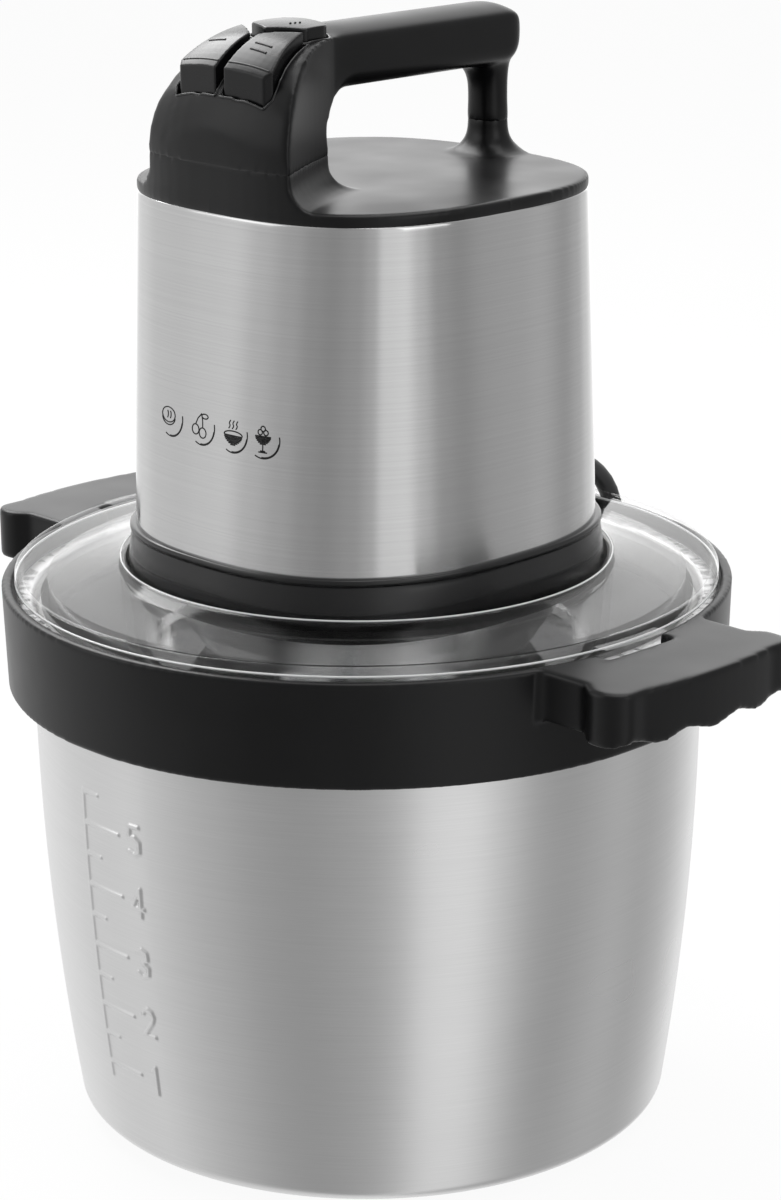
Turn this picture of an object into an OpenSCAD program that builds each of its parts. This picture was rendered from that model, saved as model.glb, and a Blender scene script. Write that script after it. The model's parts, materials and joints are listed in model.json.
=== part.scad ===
// Electric food chopper: steel bowl with a handled collar, clear lid and lift-off motor head.
// Millimetres, Z up, the bowl stands on z = 0 and its axis is the Z axis.
// The front, with the buttons, faces -Y. The cord leaves at the back, +Y.

/* [Bowl] */
// Outer radius of the bowl inside the collar
bowl_r = 115; // [105:1:125]
// Height of the bowl's rim above the table
bowl_h = 187.5; // [170:0.5:205]
// How much the wall draws in towards its foot
bowl_draw = 11; // [6:1:16]
// Width of the rounded foot corner
foot_w = 20; // [14:1:26]
// Height of the rounded foot corner
foot_h = 9; // [6:0.5:14]
// Thickness of the bowl's sheet
bowl_t = 1; // [0.8:0.1:1.6]
// Width of the bowl's turned-out rim
rim_w = 5; // [4:0.5:6]

/* [Collar] */
// Thickness of the collar from the bowl to its outer face
collar_w = 10; // [9:0.5:14]
// Height of the collar
collar_h = 36; // [30:1:44]
// How far the collar's lip stands above the bowl's rim
lip_h = 5; // [4:0.5:7]
// How far the side grips reach past the collar
grip_reach = 33.5; // [28:0.5:42]
// Half width of the side grips
grip_w = 43; // [36:1:50]
// Thickness of the side grips
grip_t = 17.6; // [14:0.2:22]
// Width of one finger scallop under a grip
scallop_w = 23; // [18:1:28]

/* [Lid] */
// Wall of the clear lid
lid_t = 2.5; // [2:0.1:3.5]
// Height of the lid's rim above the collar
lid_proud = 3.8; // [3:0.2:6]
// How much the lid rises from its rim to the recess
lid_rise = 3.7; // [2:0.1:6]
// Inner radius of the recess that holds the motor head
recess_r = 82.5; // [80:0.5:88]
// Depth of the recess
recess_h = 34; // [30:1:40]
// Half width of the lugs that key the lid in the grips
lug_w = 14.5; // [10:0.5:18]

/* [Motor head] */
// Height of the steel pan under the base ring
pan_h = 24; // [20:1:30]
// Radius of the pan's floor
pan_low_r = 56; // [50:1:60]
// Radius of the pan's top edge
pan_top_r = 71; // [66:0.5:72]
// Height of the base ring
base_h = 22.2; // [18:0.2:28]
// How far the base ring bulges past the steel shell
base_bulge = 2.6; // [1.6:0.2:4]
// Height of the steel motor shell
shell_h = 113; // [100:1:130]
// Half width of the shell's foot, side to side
shell_low_x = 71.5; // [68:0.5:74]
// Half depth of the shell's foot, front to back
shell_low_y = 74.9; // [70:0.1:76]
// Half width of the shell's top
shell_top_x = 68.4; // [64:0.1:72]
// Half depth of the shell's top
shell_top_y = 67.5; // [66:0.5:72]
// Thickness of the shell's sheet
shell_t = 0.8; // [0.6:0.1:1.2]
// Thickness of the top cover's deck
deck_t = 4; // [3:0.5:6]

/* [Handle] */
// Height of the handle bar's crown above the deck
bar_rise = 51.4; // [46:0.2:60]
// Height of the handle bar
bar_h = 20.5; // [17:0.5:24]
// Half width of the handle bar
bar_w = 12.5; // [10:0.5:15]
// Height of the hood's seam above the deck
seam_h = 11.8; // [10:0.2:14]
// Half width of the hood at its front
hood_w = 35; // [32:0.5:38]
// Distance from the axis to the hood's back face
hood_back = 28.5; // [26:0.5:29]
// Half width of the rear post, side to side
post_w = 7; // [5:0.5:9]
// Half depth of the rear post, front to back
post_d = 6; // [5:0.5:8]
// Distance from the axis to the rear post
post_y = 59.3; // [52:0.1:60]
// Wall of the plastic mouldings
wall = 2.5; // [2:0.1:3]

/* [Buttons] */
// Travel of the buttons
button_travel = 2.5; // [1.5:0.1:3]
// How far the buttons stand above the hood
button_proud = 4.4; // [3:0.2:5]
// Gap between a button and its opening
button_gap = 0.5; // [0.3:0.1:0.8]

/* [Gear train] */
// Gear module
gear_m = 1; // [0.9:0.02:1.06]
// Face width of the gears
gear_face = 10; // [8:0.5:12]
// Radius of the output shaft
drive_r = 6; // [5.5:0.1:7]
// Width across the flats of the drive hexagon
drive_af = 9; // [8:0.1:9.4]

/* [Blades] */
// Radius of the fixed pivot pin in the bowl
pin_r = 5; // [4:0.1:6]
// Height of the pivot pin above the bowl's floor
pin_h = 36; // [30:1:46]
// Reach of the lower blade
blade_low_r = 88; // [70:1:92]
// Reach of the upper blade
blade_top_r = 80; // [60:1:92]
// Thickness of the blades
blade_t = 2; // [1.5:0.1:3]
// Height of the spacer between the blades
spacer_h = 42; // [30:1:60]

/* [Cord] */
// Diameter of the mains cord
cord_d = 7; // [6:0.2:7.4]

/* [Hidden] */
$fn = 96;

// Fits and clearances
slip = 0.3;
running = 0.05;
seat_gap = 0.3;

// Heights of the stack, from the table up
rim_z = bowl_h;
collar_top = rim_z + lip_h;
collar_low = collar_top - collar_h;
lid_top = collar_top + lid_proud;
recess_top = lid_top + lid_rise;
head_z = recess_top - recess_h;
base_z = head_z + pan_h;
shell_z = base_z + base_h;
cover_z = shell_z + shell_h;
deck_z = cover_z + deck_t;
seam_z = deck_z + seam_h;
bar_top = deck_z + bar_rise;
bar_low = bar_top - bar_h;

// Radii of the bowl and collar
collar_r = bowl_r + collar_w;
grip_r = collar_r + grip_reach;
bowl_low_r = bowl_r - bowl_draw;
flat_r = bowl_low_r - foot_w;
rim_r = bowl_r + rim_w;
lip_r = rim_r + 1.3;
lid_r = lip_r - 0.8;
skirt_r = bowl_r - bowl_t - 2.2;

// Shape of the shell's plan: exponents of its rounded square
square_low = 2.5;
square_top = 2.8;

// Hood, seen from the side: a round front that runs back into the bar
hood_cy = -30;
hood_cz = seam_z - 1.4;
hood_r = shell_top_y + hood_cy + 1.3;
hood_reach = hood_r - 0.4;
hood_power = 2.25;
hood_crown = 0.003;
hood_bow = 0.003;
button_crown = 0.0055;
bar_from = -16;
narrow_y = -23;
front_y = 2.5 - shell_top_y;
bar_sag = 3.4;
bar_end = post_y + post_d + 1.2;
end_top = 9;
end_low = 8;
end_side = 7;
arch_r = 13;
flare_r = 9;

// Gear train
sun_n = 12;
planet_n = 18;
ring_n = 48;
planet_at = gear_m * (sun_n + planet_n) / 2;
press_angle = 25;
backlash = 0.16;
ring_out = gear_m * ring_n / 2 + 5.9;
box_r = ring_out + 4.1;
flange_r = box_r + 10;
deck_low = 3;
shaft_r = 4;
planet_pin_r = 2.5;
gearbox_top = base_z + deck_low + 4;
gear_z = gearbox_top - gear_face - 3;
carrier_t = 4.5;
carrier_z = gear_z - 1.5 - carrier_t;
floor_z = head_z + 1;
bearing_z = carrier_z - 8;
drive_z = head_z - lid_t - 13.5;
drive_flat = drive_af / sqrt(3);

// Motor, from the gearbox top up
frame_t = 4;
frame_top = gearbox_top + frame_t;
core_z = gearbox_top + 39;
core_h = 35;
core_top = core_z + core_h;
core_x = 39;
core_y = 35;
post_x = 31;
post_in_y = 27;
rotor_r = 22.4;
bore_r = 23;
comm_z = core_top + 12;
comm_h = 15;
comm_r = 12;
bracket_z = comm_z + comm_h + 3;
top_bearing_z = bracket_z + 3;
shaft_top = top_bearing_z + 8;

// Blade unit
hub_z = bowl_t + 4.3;
hub_r = 13;
blade_seat = hub_z + 12;
nut_z = blade_seat + blade_t + spacer_h + blade_t;
core_tube_r = 9.5;
hub_top = head_z - lid_t - 2;
socket_h = 13;
bush_wall = 1.5;

// Buttons and what they press
carrier_top = seam_z + 10.5;
carrier_plate = 2;
stem_r = 2.4;
stem_at = [12, -50];
pulse_at = [0, -35.5];
pulse_floor = hood_cz + hood_r - 8;
cap_low = carrier_top + button_travel + 2.2;
cap_recess = 6;
stem_low = carrier_top - carrier_plate - seat_gap - 1.5;
spring_room = 1.9;
board_z = deck_z + 7;
board_t = 1.6;
switch_top = stem_low - button_travel - 0.2;

// Screws
screw_r = 1.5;
head_r = 3;
base_screw_angles = [22.5, 112.5, 202.5, 292.5];

// Cord: over the collar's rear edge, down behind the bowl, along the table to the coil
boot_axis = [0, 4, -1];
boot_from = [0, 74, 218.5];
boot_to = [0, 98, 212.5];
boot_end_r = cord_d / 2 + 1;
boot_root_r = 5.3;
coil_at = [-100, 145];
coil_in = 31.5;
coil_out = 45.5;
coil_h = 14;
plug_x = -142;
plug_y = 116;
plug_z = 10.5;
cord_route = [
    [0, 98, 212.5], [0, 102, 211.5], [-1, 106.5, 210], [-2, 111.5, 207.9], [-3.2, 116.5, 205.2],
    [-4.5, 121.4, 202], [-5.7, 126, 198], [-6.8, 130, 193.2], [-7.8, 133.2, 187.6],
    [-8.6, 135.8, 181.4], [-9.2, 137.6, 174.6], [-9.7, 138.6, 167], [-10, 139, 156],
    [-10, 139, 142], [-10, 139, 128], [-10, 139, 114], [-10, 139, 100], [-10, 139, 86],
    [-10, 139, 72], [-10, 139, 58], [-10.4, 139.4, 46], [-12, 140.6, 35], [-15.4, 143, 25],
    [-20.6, 146.4, 16.4], [-27.4, 150.6, 10], [-35.6, 155.4, 6], [-44.6, 160.6, 4.3],
    [-54, 166, 4], [-62, 170.6, 4]
];

// Points on a stretch of ellipse
function oval_arc(c, rx, ry, a0, a1, n) =
    [for (i = [0:n]) let (a = a0 + (a1 - a0) * i / n) [c[0] + rx * cos(a), c[1] + ry * sin(a)]];

function arc(c, r, a0, a1, n) = oval_arc(c, r, r, a0, a1, n);

// A rounded square of half sizes a and b; a larger e is squarer
function squarish(a, b, e, n = 96) = [
    for (i = [0:n - 1])
    let (t = 360 * i / n, c = cos(t), s = sin(t))
    [a * sign(c) * pow(abs(c), 2 / e), b * sign(s) * pow(abs(s), 2 / e)]
];

// The shell's plan at height z, drawn in by inset
function shell_plan(z, inset) =
    let (k = (z - shell_z) / shell_h)
    squarish(
        shell_low_x + (shell_top_x - shell_low_x) * k - inset,
        shell_low_y + (shell_top_y - shell_low_y) * k - inset,
        square_low + (square_top - square_low) * k);

function at_height(plan, z) = [for (p = plan) [p[0], p[1], z]];

// A closed skin through rings that have the same number of points
module loft(rings) {
    n = len(rings[0]);
    m = len(rings);
    sides = [for (j = [0:m - 2], i = [0:n - 1])
        let (k = (i + 1) % n)
        [j * n + i, (j + 1) * n + i, (j + 1) * n + k, j * n + k]];
    low_cap = [[for (i = [0:n - 1]) i]];
    top_cap = [[for (i = [n - 1:-1:0]) (m - 1) * n + i]];
    polyhedron(points = [for (r = rings) each r], faces = concat(low_cap, sides, top_cap));
}

// Draws its child, a shape in Y and Z, through the width 2 * w along X
module along_x(w) {
    translate([-w, 0, 0])
        rotate([90, 0, 90])
            linear_extrude(2 * w)
                children();
}

module upright(z0, z1) {
    translate([0, 0, z0])
        linear_extrude(z1 - z0)
            children();
}

module tube(r_out, r_in, z0, z1) {
    difference() {
        translate([0, 0, z0])
            cylinder(r = r_out, h = z1 - z0);
        translate([0, 0, z0 - 1])
            cylinder(r = r_in, h = z1 - z0 + 2);
    }
}

module rod(p, r, z0, z1) {
    translate([p[0], p[1], z0])
        cylinder(r = r, h = z1 - z0);
}

// A screw with its head down at z and its shank up
module screw_up(p, z, shank) {
    rod(p, head_r, z, z + 2);
    rod(p, screw_r, z + 1, z + 2 + shank);
}

// Bowl: radius of the outer face at height z
function wall_r(z) =
    bowl_r - bowl_draw * pow(max(0, (collar_low - z) / (collar_low - foot_h)), 2);

function bowl_side(inset, top) = concat(
    [for (p = oval_arc([flat_r, foot_h], foot_w, foot_h - inset, -90, -4, 12))
        [p[0] - inset * (p[0] - flat_r) / foot_w, p[1]]],
    [for (i = [1:16]) let (z = foot_h + (collar_low - foot_h) * i / 16) [wall_r(z) - inset, z]],
    [[bowl_r - inset, top]]);

module bowl() {
    color("gainsboro")
        difference() {
            union() {
                rotate_extrude()
                    polygon(concat([[0, 0]], bowl_side(0, rim_z), [[0, rim_z]]));
                translate([0, 0, rim_z - bowl_t])
                    cylinder(r = rim_r, h = bowl_t);
            }
            rotate_extrude()
                polygon(concat([[0, bowl_t]], bowl_side(bowl_t, rim_z + 1), [[0, rim_z + 1]]));
        }
}

// Plan of one side grip, from its neck to its outer arc
function grip_half() =
    let (
        neck = grip_w - 4.5,
        fil = 8,
        join_r = collar_r - 2.4,
        fx = sqrt(pow(join_r + fil, 2) - pow(neck + fil, 2)),
        fc = [fx, -neck - fil],
        a_in = atan2(-fc[1], -fc[0]),
        corner = [grip_r - 12, 10 - grip_w]
    )
    concat(
        [[bowl_r - 6, fc[1] * join_r / (join_r + fil)]],
        arc(fc, fil, 180 + atan2(fc[1], fc[0]), 90, 6),
        [[grip_r - 21, -neck]],
        arc(corner, 10, -115, -20, 8),
        arc([0, 0], grip_r, -11, 0, 6));

function mirrored_y(points) =
    concat(points, [for (i = [len(points) - 2:-1:0]) [points[i][0], -points[i][1]]]);

// Underside of a grip: shallow scallops for the fingers
function scallops() = [
    for (i = [0:64])
    let (y = -64 + 2 * i)
    [y, collar_top - grip_t - 1.2 * cos(360 * y / scallop_w)]
];

module side_grip() {
    intersection() {
        upright(collar_low + 4, collar_top)
            polygon(mirrored_y(grip_half()));
        along_x(grip_r + 5)
            polygon(concat(scallops(), [[64, collar_top + 1], [-64, collar_top + 1]]));
    }
}

module bowl_collar() {
    taper = 1.2;
    skin = 3;
    inner_r = bowl_r + slip;
    web_z = rim_z - bowl_t - skin;
    color([0.09, 0.09, 0.09])
        difference() {
            union() {
                translate([0, 0, collar_low])
                    cylinder(r1 = collar_r - taper, r2 = collar_r, h = collar_h);
                side_grip();
                rotate([0, 0, 180])
                    side_grip();
            }
            translate([0, 0, collar_low - 1])
                cylinder(r = inner_r, h = collar_h + 2);
            translate([0, 0, rim_z - bowl_t])
                cylinder(r = lip_r, h = lip_h + bowl_t + 1);
            difference() {
                translate([0, 0, collar_low - 1])
                    cylinder(r = collar_r - taper - wall, h = web_z - collar_low + 1);
                translate([0, 0, collar_low - 2])
                    cylinder(r = inner_r + wall, h = collar_h);
                for (a = [15:30:345])
                    rotate([0, 0, a])
                        translate([bowl_r, -1, collar_low - 3])
                            cube([collar_w, 2, collar_h]);
            }
            for (s = [-1, 1])
                translate([s > 0 ? bowl_r : -lip_r - 5.5, -lug_w - 1, rim_z - bowl_t])
                    cube([lip_r + 5.5 - bowl_r, 2 * lug_w + 2, lip_h + bowl_t + 1]);
        }
}

module pivot_pin() {
    color("silver")
        rotate_extrude()
            polygon([[0, bowl_t], [15, bowl_t], [15, bowl_t + 1.5], [11, bowl_t + 3],
                [pin_r, bowl_t + 4], [pin_r, bowl_t + pin_h - 2], [pin_r - 2, bowl_t + pin_h],
                [0, bowl_t + pin_h]]);
}

// Blade unit
module blade_hub() {
    bush_r = pin_r + running + bush_wall;
    color([0.12, 0.12, 0.12])
        difference() {
            union() {
                rotate_extrude()
                    polygon([[0, hub_z], [hub_r, hub_z], [hub_r + 2, hub_z + 2],
                        [hub_r + 2, blade_seat], [core_tube_r, blade_seat], [core_tube_r, nut_z + 8],
                        [core_tube_r + 1, nut_z + 12], [core_tube_r + 1, hub_top], [0, hub_top]]);
            }
            rod([0, 0], bush_r, hub_z - 1, bowl_t + pin_h + 3);
            translate([0, 0, hub_top - socket_h])
                cylinder(r = drive_flat + 0.17, h = socket_h + 1, $fn = 6);
        }
}

module hub_bush() {
    color("peru")
        tube(pin_r + running + bush_wall, pin_r + running, hub_z, bowl_t + pin_h + 2.5);
}

// One curved blade arm: it sweeps back towards a pointed tip
function blade_arm(reach, sweep, w) = concat(
    [for (i = [0:16])
        let (k = i / 16, r = 10 + (reach - 10) * k, a = sweep * k * k)
        [r * cos(a) + w * (1 - k * k) * sin(a), r * sin(a) - w * (1 - k * k) * cos(a)]],
    [for (i = [15:-1:0])
        let (k = i / 16, r = 10 + (reach - 12) * k, a = sweep * k * k + 4 * k)
        [r * cos(a) - w * 0.8 * sin(a), r * sin(a) + w * 0.8 * cos(a)]]);

module blade(reach, sweep, z) {
    color("lightsteelblue")
        difference() {
            union() {
                for (a = [0, 180])
                    rotate([0, 0, a])
                        upright(z, z + blade_t)
                            polygon(blade_arm(reach, sweep, 11));
                rod([0, 0], hub_r + 3, z, z + blade_t);
            }
            rod([0, 0], core_tube_r + 0.1, z - 1, z + blade_t + 1);
        }
}

module lower_blade() {
    blade(blade_low_r, 42, blade_seat);
}

module blade_spacer() {
    color([0.12, 0.12, 0.12])
        tube(hub_r, core_tube_r + 0.1, blade_seat + blade_t, nut_z - blade_t);
}

module upper_blade() {
    rotate([0, 0, 90])
        blade(blade_top_r, 36, nut_z - blade_t);
}

module blade_nut() {
    color("silver")
        difference() {
            translate([0, 0, nut_z])
                cylinder(r = hub_r + 2, h = 6, $fn = 6);
            rod([0, 0], core_tube_r + 0.1, nut_z - 1, nut_z + 7);
        }
}

// Clear lid: rim, sloping top, recess for the motor head and skirt into the bowl
module lid() {
    out = recess_r + lid_t;
    under = lid_top - lid_t;
    low = head_z - lid_t;
    round_r = 8;
    skirt_low = rim_z - 14;
    bush_out = drive_r + 4;
    outline = concat(
        [[bush_out, low], [recess_r - round_r, low]],
        arc([out - round_r - 2, low + round_r], round_r, -80, -8, 8),
        [[out, recess_top - lid_t - 1], [skirt_r - lid_t, under], [skirt_r - lid_t, skirt_low],
            [skirt_r, skirt_low], [skirt_r, rim_z], [rim_r, rim_z], [lid_r, rim_z + 1],
            [lid_r, lid_top - 0.8], [lid_r - 0.8, lid_top], [lid_r - 2.2, lid_top],
            [lid_r - 3, lid_top - 0.8], [out + 1, recess_top - 0.8], [out - 0.5, recess_top],
            [recess_r, recess_top - 0.6]],
        arc([recess_r - round_r - 2, head_z + round_r], round_r, -8, -90, 8),
        [[bush_out, head_z]]);
    color([0.85, 0.9, 0.92, 0.4])
        union() {
            rotate_extrude()
                polygon(outline);
            for (s = [-1, 1])
                intersection() {
                    translate([s > 0 ? lid_r - 5 : -lip_r - 5, -lug_w, rim_z + 1])
                        cube([lip_r + 10 - lid_r, 2 * lug_w, lip_h + 1]);
                    tube(lip_r + 5, lid_r - 2, rim_z, lid_top);
                }
        }
}

module lid_gasket() {
    color([0.75, 0.75, 0.75])
        difference() {
            rotate_extrude()
                polygon([[skirt_r + 0.05, rim_z - 12], [bowl_r - bowl_t - 0.3, rim_z - 9],
                    [skirt_r + 1, rim_z - 7.5], [bowl_r - bowl_t - 0.3, rim_z - 6],
                    [skirt_r + 0.05, rim_z - 3]]);
        }
}

module lid_bush() {
    color([0.75, 0.75, 0.75])
        tube(drive_r + 4, drive_r + slip, head_z - lid_t - 0.8, head_z);
}

// Motor head, outside
module base_pan() {
    t = 1;
    color("gainsboro")
        difference() {
            rotate_extrude()
                polygon([[drive_r + 5, head_z], [pan_low_r - 3, head_z], [pan_low_r, head_z + 2],
                    [pan_top_r, base_z], [box_r + slip, base_z], [box_r + slip, base_z - t],
                    [pan_top_r - 1.6, base_z - t], [pan_low_r - t, head_z + 2 + t],
                    [pan_low_r - 3, head_z + t], [drive_r + 5, head_z + t]]);
            for (a = base_screw_angles)
                rotate([0, 0, a])
                    rod([flange_r - 5, 0], screw_r, base_z - t - 1, base_z + 1);
        }
}

module base_ring() {
    // Height and how far the face stands past the shell, from the foot to the lip
    face = [[0, 0.2], [0.06, 0.75], [0.2, 1], [0.5, 0.95], [0.75, 0.7], [0.88, 0.5], [0.92, 0.7],
        [1, 0.6]];
    color([0.08, 0.08, 0.08])
        difference() {
            loft([for (f = face)
                at_height(shell_plan(shell_z, -base_bulge * f[1]), base_z + base_h * f[0])]);
            upright(base_z + deck_low, shell_z + 1)
                polygon(shell_plan(shell_z, shell_t + wall));
            upright(shell_z - 3, shell_z + 1)
                polygon(shell_plan(shell_z, -0.2));
            rod([0, 0], box_r + slip, base_z - 1, base_z + deck_low + 1);
            for (a = base_screw_angles)
                rotate([0, 0, a])
                    rod([flange_r - 5, 0], screw_r + 0.2, base_z - 1, base_z + deck_low + 1);
        }
}

module motor_shell() {
    low = shell_z - 3;
    color("silver")
        difference() {
            loft([at_height(shell_plan(low, 0.1), low), at_height(shell_plan(cover_z, 0), cover_z)]);
            loft([at_height(shell_plan(low - 1, shell_t + 0.1), low - 1),
                at_height(shell_plan(cover_z + 1, shell_t), cover_z + 1)]);
            translate([0, boot_from[1], boot_from[2]])
                rotate([90, 0, 0])
                    cylinder(r = boot_root_r + 0.35, h = 24, center = true);
        }
}

// Half width of the hood and bar at a distance y from the axis
function half_at(y) =
    y > bar_end - end_side
        ? bar_w - end_side + sqrt(max(0, pow(end_side, 2) - pow(y - bar_end + end_side, 2)))
        : bar_w + (hood_w - bar_w) * pow(min(1, max(0, (narrow_y - y) / (narrow_y - front_y))), 1.2);

// Eases from a to b as k goes from 0 to 1
function ease(a, b, k) = a + (b - a) * k * k * (3 - 2 * k);

// The hood's round front, from the side
function hood_arc(y, up) =
    hood_cz + (hood_r + up)
        * pow(max(0, 1 - pow(max(0, hood_cy - y) / (hood_reach + up), hood_power)), 1 / hood_power);

// Height of the hood's and bar's middle line, and how far their edges drop below it
function crest(y, up = 0) =
    y < hood_cy ? hood_arc(y, up)
    : y < bar_from ? ease(hood_cz + hood_r + up, bar_top + up, (y - hood_cy) / (bar_from - hood_cy))
    : y < bar_end - end_top ? bar_top + up
    : bar_top - end_top + sqrt(max(0, pow(end_top, 2) - pow(y - bar_end + end_top, 2)));

function sag(y) =
    let (hood_sag = hood_crown * pow(half_at(y), 2))
    y < hood_cy ? hood_sag
    : y < bar_from ? ease(hood_sag, bar_sag, (y - hood_cy) / (bar_from - hood_cy))
    : y < bar_end - end_top ? bar_sag
    : ease(bar_sag, 1, (y - bar_end + end_top) / end_top);

// Height of the underside: below the seam at the hood, then the finger opening's round corner
function belly(y) =
    y <= -hood_back ? seam_z - 14
    : y < arch_r - hood_back
        ? bar_low - arch_r + sqrt(max(0, arch_r * arch_r - pow(arch_r - hood_back - y, 2)))
    : y < bar_end - end_low ? bar_low
    : bar_low + end_low - sqrt(max(0, pow(end_low, 2) - pow(y - bar_end + end_low, 2)));

// Plan of the hood, drawn in by inset
function hood_plan(inset) =
    let (
        y1 = -hood_back - inset,
        side = [for (i = [0:8]) let (y = front_y + (y1 - front_y) * i / 8)
            [half_at(y) - 1.14 * inset, y]]
    )
    concat([[hood_w - 1.14 * inset, -shell_top_y - 12]], side,
        [for (i = [8:-1:0]) [-side[i][0], side[i][1]]],
        [[1.14 * inset - hood_w, -shell_top_y - 12]]);

// How far a concave foot of radius flare_r reaches out at height h above the deck
function flare(h) =
    h >= flare_r ? 0 : flare_r - sqrt(flare_r * flare_r - pow(flare_r - max(0.1, h), 2));

// Heights of a flare's sections; the first lies inside what the flare stands on
flare_steps = [-1, 0.1, 0.5, 1.3, 2.6, 4.2, 6.2, 9];

module cover_plan(inset) {
    polygon(shell_plan(cover_z, inset));
}

function post_ring(grow, z) =
    [for (p = squarish(post_w + grow, post_d + grow, 2.4, 48)) [p[0], p[1] + post_y, z]];

handle_screw_points = [[-22, -57.5], [22, -57.5], [0, post_y]];
board_points = [[-12, -59], [12, -59], [-10, -36], [10, -36]];
carrier_points = [[-8.5, -35], [8.5, -35]];

module top_cover() {
    lap = 6;
    color([0.13, 0.13, 0.13])
        difference() {
            union() {
                upright(cover_z, deck_z)
                    cover_plan(0);
                upright(cover_z - lap, cover_z)
                    difference() {
                        cover_plan(shell_t + slip);
                        cover_plan(shell_t + slip + wall);
                    }
                intersection() {
                    union() {
                        loft(concat(
                            [for (h = flare_steps) at_height(hood_plan(-flare(h)), deck_z - 0.1 + h)],
                            [at_height(hood_plan(0), seam_z)]));
                        loft(concat(
                            [for (h = flare_steps) post_ring(flare(h), deck_z - 0.1 + h)],
                            [post_ring(0, seam_z)]));
                    }
                    upright(cover_z, seam_z)
                        cover_plan(0.2);
                }
            }
            intersection() {
                upright(deck_z, seam_z + 1)
                    polygon(hood_plan(wall));
                upright(deck_z, seam_z + 1)
                    cover_plan(wall + 0.4);
            }
            rod([0, -45], 5, cover_z - 1, deck_z + 1);
            for (p = handle_screw_points)
                rod(p, screw_r + 0.2, cover_z - 1, seam_z + 1);
        }
    color([0.13, 0.13, 0.13])
        for (p = board_points)
            difference() {
                rod(p, 2.4, deck_z, board_z);
                rod(p, 0.8, deck_z + 1, board_z + 1);
            }
}

// One section of the handle at a distance y from the axis, raised by up
function handle_ring(y, up) =
    let (
        w = half_at(y),
        top = crest(y, up),
        edge = top - sag(y),
        low = belly(y),
        r = min(y > -hood_back ? 6 * min(1, (y + hood_back) / arch_r + 0.05) : 0.3,
            (edge - low) / 2.2)
    )
    concat(
        [for (i = [-8:8])
            let (x = w * sin(i * 90 / 8), back = min(hood_bow * x * x, 2 * max(0, hood_cy - y)))
            [x, y, max(low + 2 * r + 0.5,
                crest(y - back, up) - (top - edge) * pow(abs(x) / w, 2.1))]],
        [for (p = arc([w - r, low + r], r, 0, -90, 5)) [p[0], y, p[1]]],
        [for (p = arc([r - w, low + r], r, -90, -180, 5)) [p[0], y, p[1]]]);

handle_stations = concat(
    [for (i = [0:6]) -shell_top_y - 0.6 + 1.3 * i],
    [for (y = [-56:4:-32]) y],
    [-hood_back - 1.6, -hood_back, 0.02 - hood_back, 0.5 - hood_back, 2 - hood_back, 5 - hood_back,
        9 - hood_back, arch_r - hood_back, 20 - hood_back],
    [for (k = [1, 0.8, 0.6, 0.45, 0.3, 0.18, 0.08, 0.02, 0]) bar_end - end_top * k]);

module handle_skin(up) {
    loft([for (y = handle_stations) handle_ring(y, up)]);
}

// The hood's front follows the cover below it
module hood_front() {
    upright(seam_z, bar_top + 12)
        union() {
            cover_plan(0.2);
            translate([-hood_w, 0])
                square([2 * hood_w, bar_end + 1]);
        }
}

// The post spreads forwards where it meets the bar
function post_head(f, z) = [
    for (p = post_ring(0, z))
    [p[0] * (1 + 0.2 * f / post_w), p[1] < post_y ? p[1] - 0.9 * f * (post_y - p[1]) / post_d : p[1], z]
];

module handle_body() {
    intersection() {
        handle_skin(0);
        hood_front();
    }
    loft(concat(
        [post_ring(0, seam_z)],
        [for (i = [len(flare_steps) - 1:-1:0]) let (h = flare_steps[i]) post_head(flare(h), bar_low - h)],
        [post_ring(-1.5, bar_low + 5)]));
}

// Plans of the two speed buttons and the pulse button behind them
function speed_plan(side, grow) =
    [for (p = [[2 - grow, -61.9 - grow], [20 + grow, -61.1 - grow], [21.9 + grow, -58.8 - grow],
        [18.6 + grow, -50.5], [14.6 + grow, -38.7 + grow], [2 - grow, -46.6 + grow]])
        [side * p[0], p[1]]];

function pulse_plan(grow) = mirror_x(concat(
    [[0, -42.2 - grow], [11.8 + grow * 0.6, -37.3 - grow], [13 + grow, -35.8]],
    arc([7.9, -29.4], 5 + grow, 10, 70, 4),
    [[0, -24.2 + grow]]));

function mirror_x(points) =
    concat(points, [for (i = [len(points) - 2:-1:1]) [-points[i][0], points[i][1]]]);

module handle_shell() {
    cavity_r = hood_r - wall - 4.5;
    boss_top = seam_z + 9;
    color([0.1, 0.1, 0.1])
        difference() {
            union() {
                difference() {
                    handle_body();
                    intersection() {
                        upright(seam_z - 1, bar_top)
                            polygon(hood_plan(wall));
                        along_x(hood_w)
                            polygon(concat(arc([hood_cy, hood_cz], cavity_r, 180, 60, 12),
                                [[hood_cy + cavity_r / 2, hood_cz - 5],
                                    [hood_cy - cavity_r, hood_cz - 5]]));
                    }
                }
                for (s = [0, 1])
                    rod(handle_screw_points[s], 3.6, deck_z, boss_top);
                for (p = carrier_points)
                    rod(p, 2.9, carrier_top, pulse_floor);
                upright(pulse_floor - 1.5, hood_cz + hood_r - 1)
                    polygon(pulse_plan(1.2));
            }
            for (s = [-1, 1])
                upright(carrier_top + 1, bar_top + 8)
                    polygon(speed_plan(s, button_gap));
            upright(pulse_floor, bar_top + 8)
                polygon(pulse_plan(button_gap));
            rod(pulse_at, stem_r + spring_room, carrier_top - 1, pulse_floor + 1);
            for (p = carrier_points)
                rod(p, 1, carrier_top - 1, carrier_top + 9);
            for (p = handle_screw_points)
                rod(p, screw_r + 0.02, cover_z, boss_top - 1);
        }
}

// Plan of the flat parts inside the hood, clear of its walls by gap
function inside_plan(y0, y1, gap) =
    let (side = [for (i = [0:6]) let (y = y0 + (y1 - y0) * i / 6)
        [half_at(y) - 1.14 * (wall + gap), y]])
    concat(side, [for (i = [6:-1:0]) [-side[i][0], side[i][1]]]);

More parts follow.
